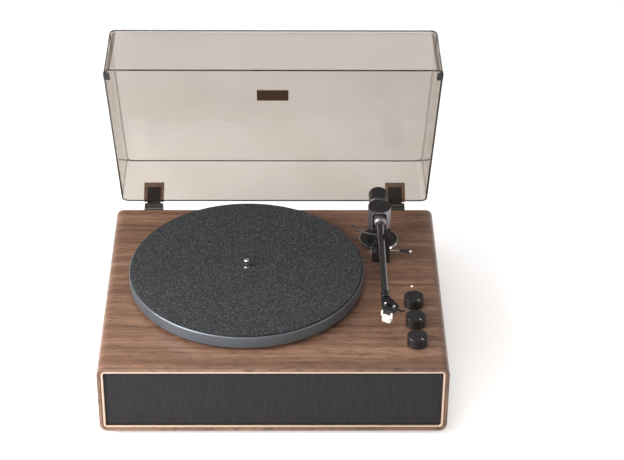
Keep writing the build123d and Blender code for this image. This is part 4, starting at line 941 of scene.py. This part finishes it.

# painted shade along the inside of the top's edge and down the four corners
topShrink = 2 * (coverSet["draft"] + shadeLineSet["sink"])
bm = bmesh.new()
flatRing(
    bm, coverSet["width"] - topShrink, coverSet["depth"] - topShrink, coverSet["corner"] - 1,
    shadeLineSet["line"], (0, coverSet["centre"]),
    coverSet["top"] - shadeLineSet["topFillet"] - shadeLineSet["underFillet"], shadeLineSet["line"],
)
wallTall = coverSet["top"] - coverSet["edge"]
lean = math.atan2(coverSet["draft"], wallTall)
barSize = (shadeLineSet["line"], shadeLineSet["line"], wallTall - shadeLineSet["topFillet"] - shadeLineSet["endGap"])
halfWayIn = coverSet["draft"] / 2 + shadeLineSet["sink"] + shadeLineSet["line"] / 2
barX = coverSet["width"] / 2 - halfWayIn
barY = coverSet["depth"] / 2 - coverSet["corner"] - shadeLineSet["pastCorner"]
barMiddle = (coverSet["top"] + coverSet["edge"] - shadeLineSet["topFillet"]) / 2
for sx in (-1, 1):
    for sy in (-1, 1):
        made = bmesh.ops.create_cube(bm, size=mm)["verts"]
        bmesh.ops.scale(bm, verts=made, vec=barSize)
        tilt = Matrix.Rotation(-sx * lean, 3, "Y")
        bmesh.ops.rotate(bm, verts=made, cent=(0, 0, 0), matrix=tilt)
        place = (sx * barX, coverSet["centre"] + sy * barY, barMiddle)
        bmesh.ops.translate(bm, verts=made, vec=Vector(place) * mm)
coverPiece(bm, "coverEdgeShadeLines", edgeShadeFinish)
print("cover pieces made")


# Painted shadow: a thin black ring round the mat, standing in for the shadow gap that shows as a dark line
# inside the platter's bright rim

gapShadowSet = {"radii": (147.55, 148.7), "heights": (116.1, 116.32), "steps": 180}
inner, outer = gapShadowSet["radii"]
low, high = gapShadowSet["heights"]
profile = [(inner, low), (inner, high), (outer, high), (outer, low)]
bm = spun(profile, matSet["centre"], steps=gapShadowSet["steps"])
pieceFrom(bm, "matShadowGapRing", "platter", materials["black_rubber"])


# Hexagon sockets in the rear panel's screws, drawn as thin dark plates just proud of the heads: painted
# shade in place of the recesses

socketShadeSet = {
    "xs": (-205, -60, 60, 205), "zs": (9, 87), "head": 177.5, "radius": 1.5, "thick": 0.3, "proud": 0.04,
}
bm = bmesh.new()
for x in socketShadeSet["xs"]:
    for z in socketShadeSet["zs"]:
        made = bmesh.ops.create_circle(
            bm, cap_ends=True, segments=6, radius=socketShadeSet["radius"] * mm
        )["verts"]
        plate = list({face for v in made for face in v.link_faces})
        whole = made + thicken(bm, plate, socketShadeSet["thick"])
        bmesh.ops.rotate(bm, verts=whole, cent=(0, 0, 0), matrix=zToBack)
        start = socketShadeSet["head"] + socketShadeSet["proud"] - socketShadeSet["thick"]
        bmesh.ops.translate(bm, verts=whole, vec=Vector((x, start, z)) * mm)
pieceFrom(bm, "rearScrewSocketShade", "cabinet", materials["black_rubber"])


# Coloured insulators round the line sockets: moulded nylon, white for left and red for right

insulatorSet = {
    "y": 176.4, "z": 40, "steps": 40, "profile": [(4.3, 0), (5.6, 0), (5.6, 0.9), (5.3, 1.3), (4.3, 1.3)],
    "rings": {
        "lineLeftInsulator": (100, "#E8E6E2", "#F2F0EC"),
        "lineRightInsulator": (118, "#A3231F", "#B52E28"),
    },
}
for name, (x, low, high) in insulatorSet["rings"].items():
    nylon = grainedFinish({
        "name": name + "Nylon", "colours": (low, high), "roughness": (0.35, 0.5), "grain": 0.6,
        "relief": 0.006,
    })
    place = (x, insulatorSet["y"], insulatorSet["z"])
    bm = spun(insulatorSet["profile"], place, axis="Y", steps=insulatorSet["steps"])
    pieceFrom(bm, name, "cabinet", nylon)
# the groove is the mat's painted shadow ring, and the screw sockets are painted shade
print("groove, screw sockets and insulators made")
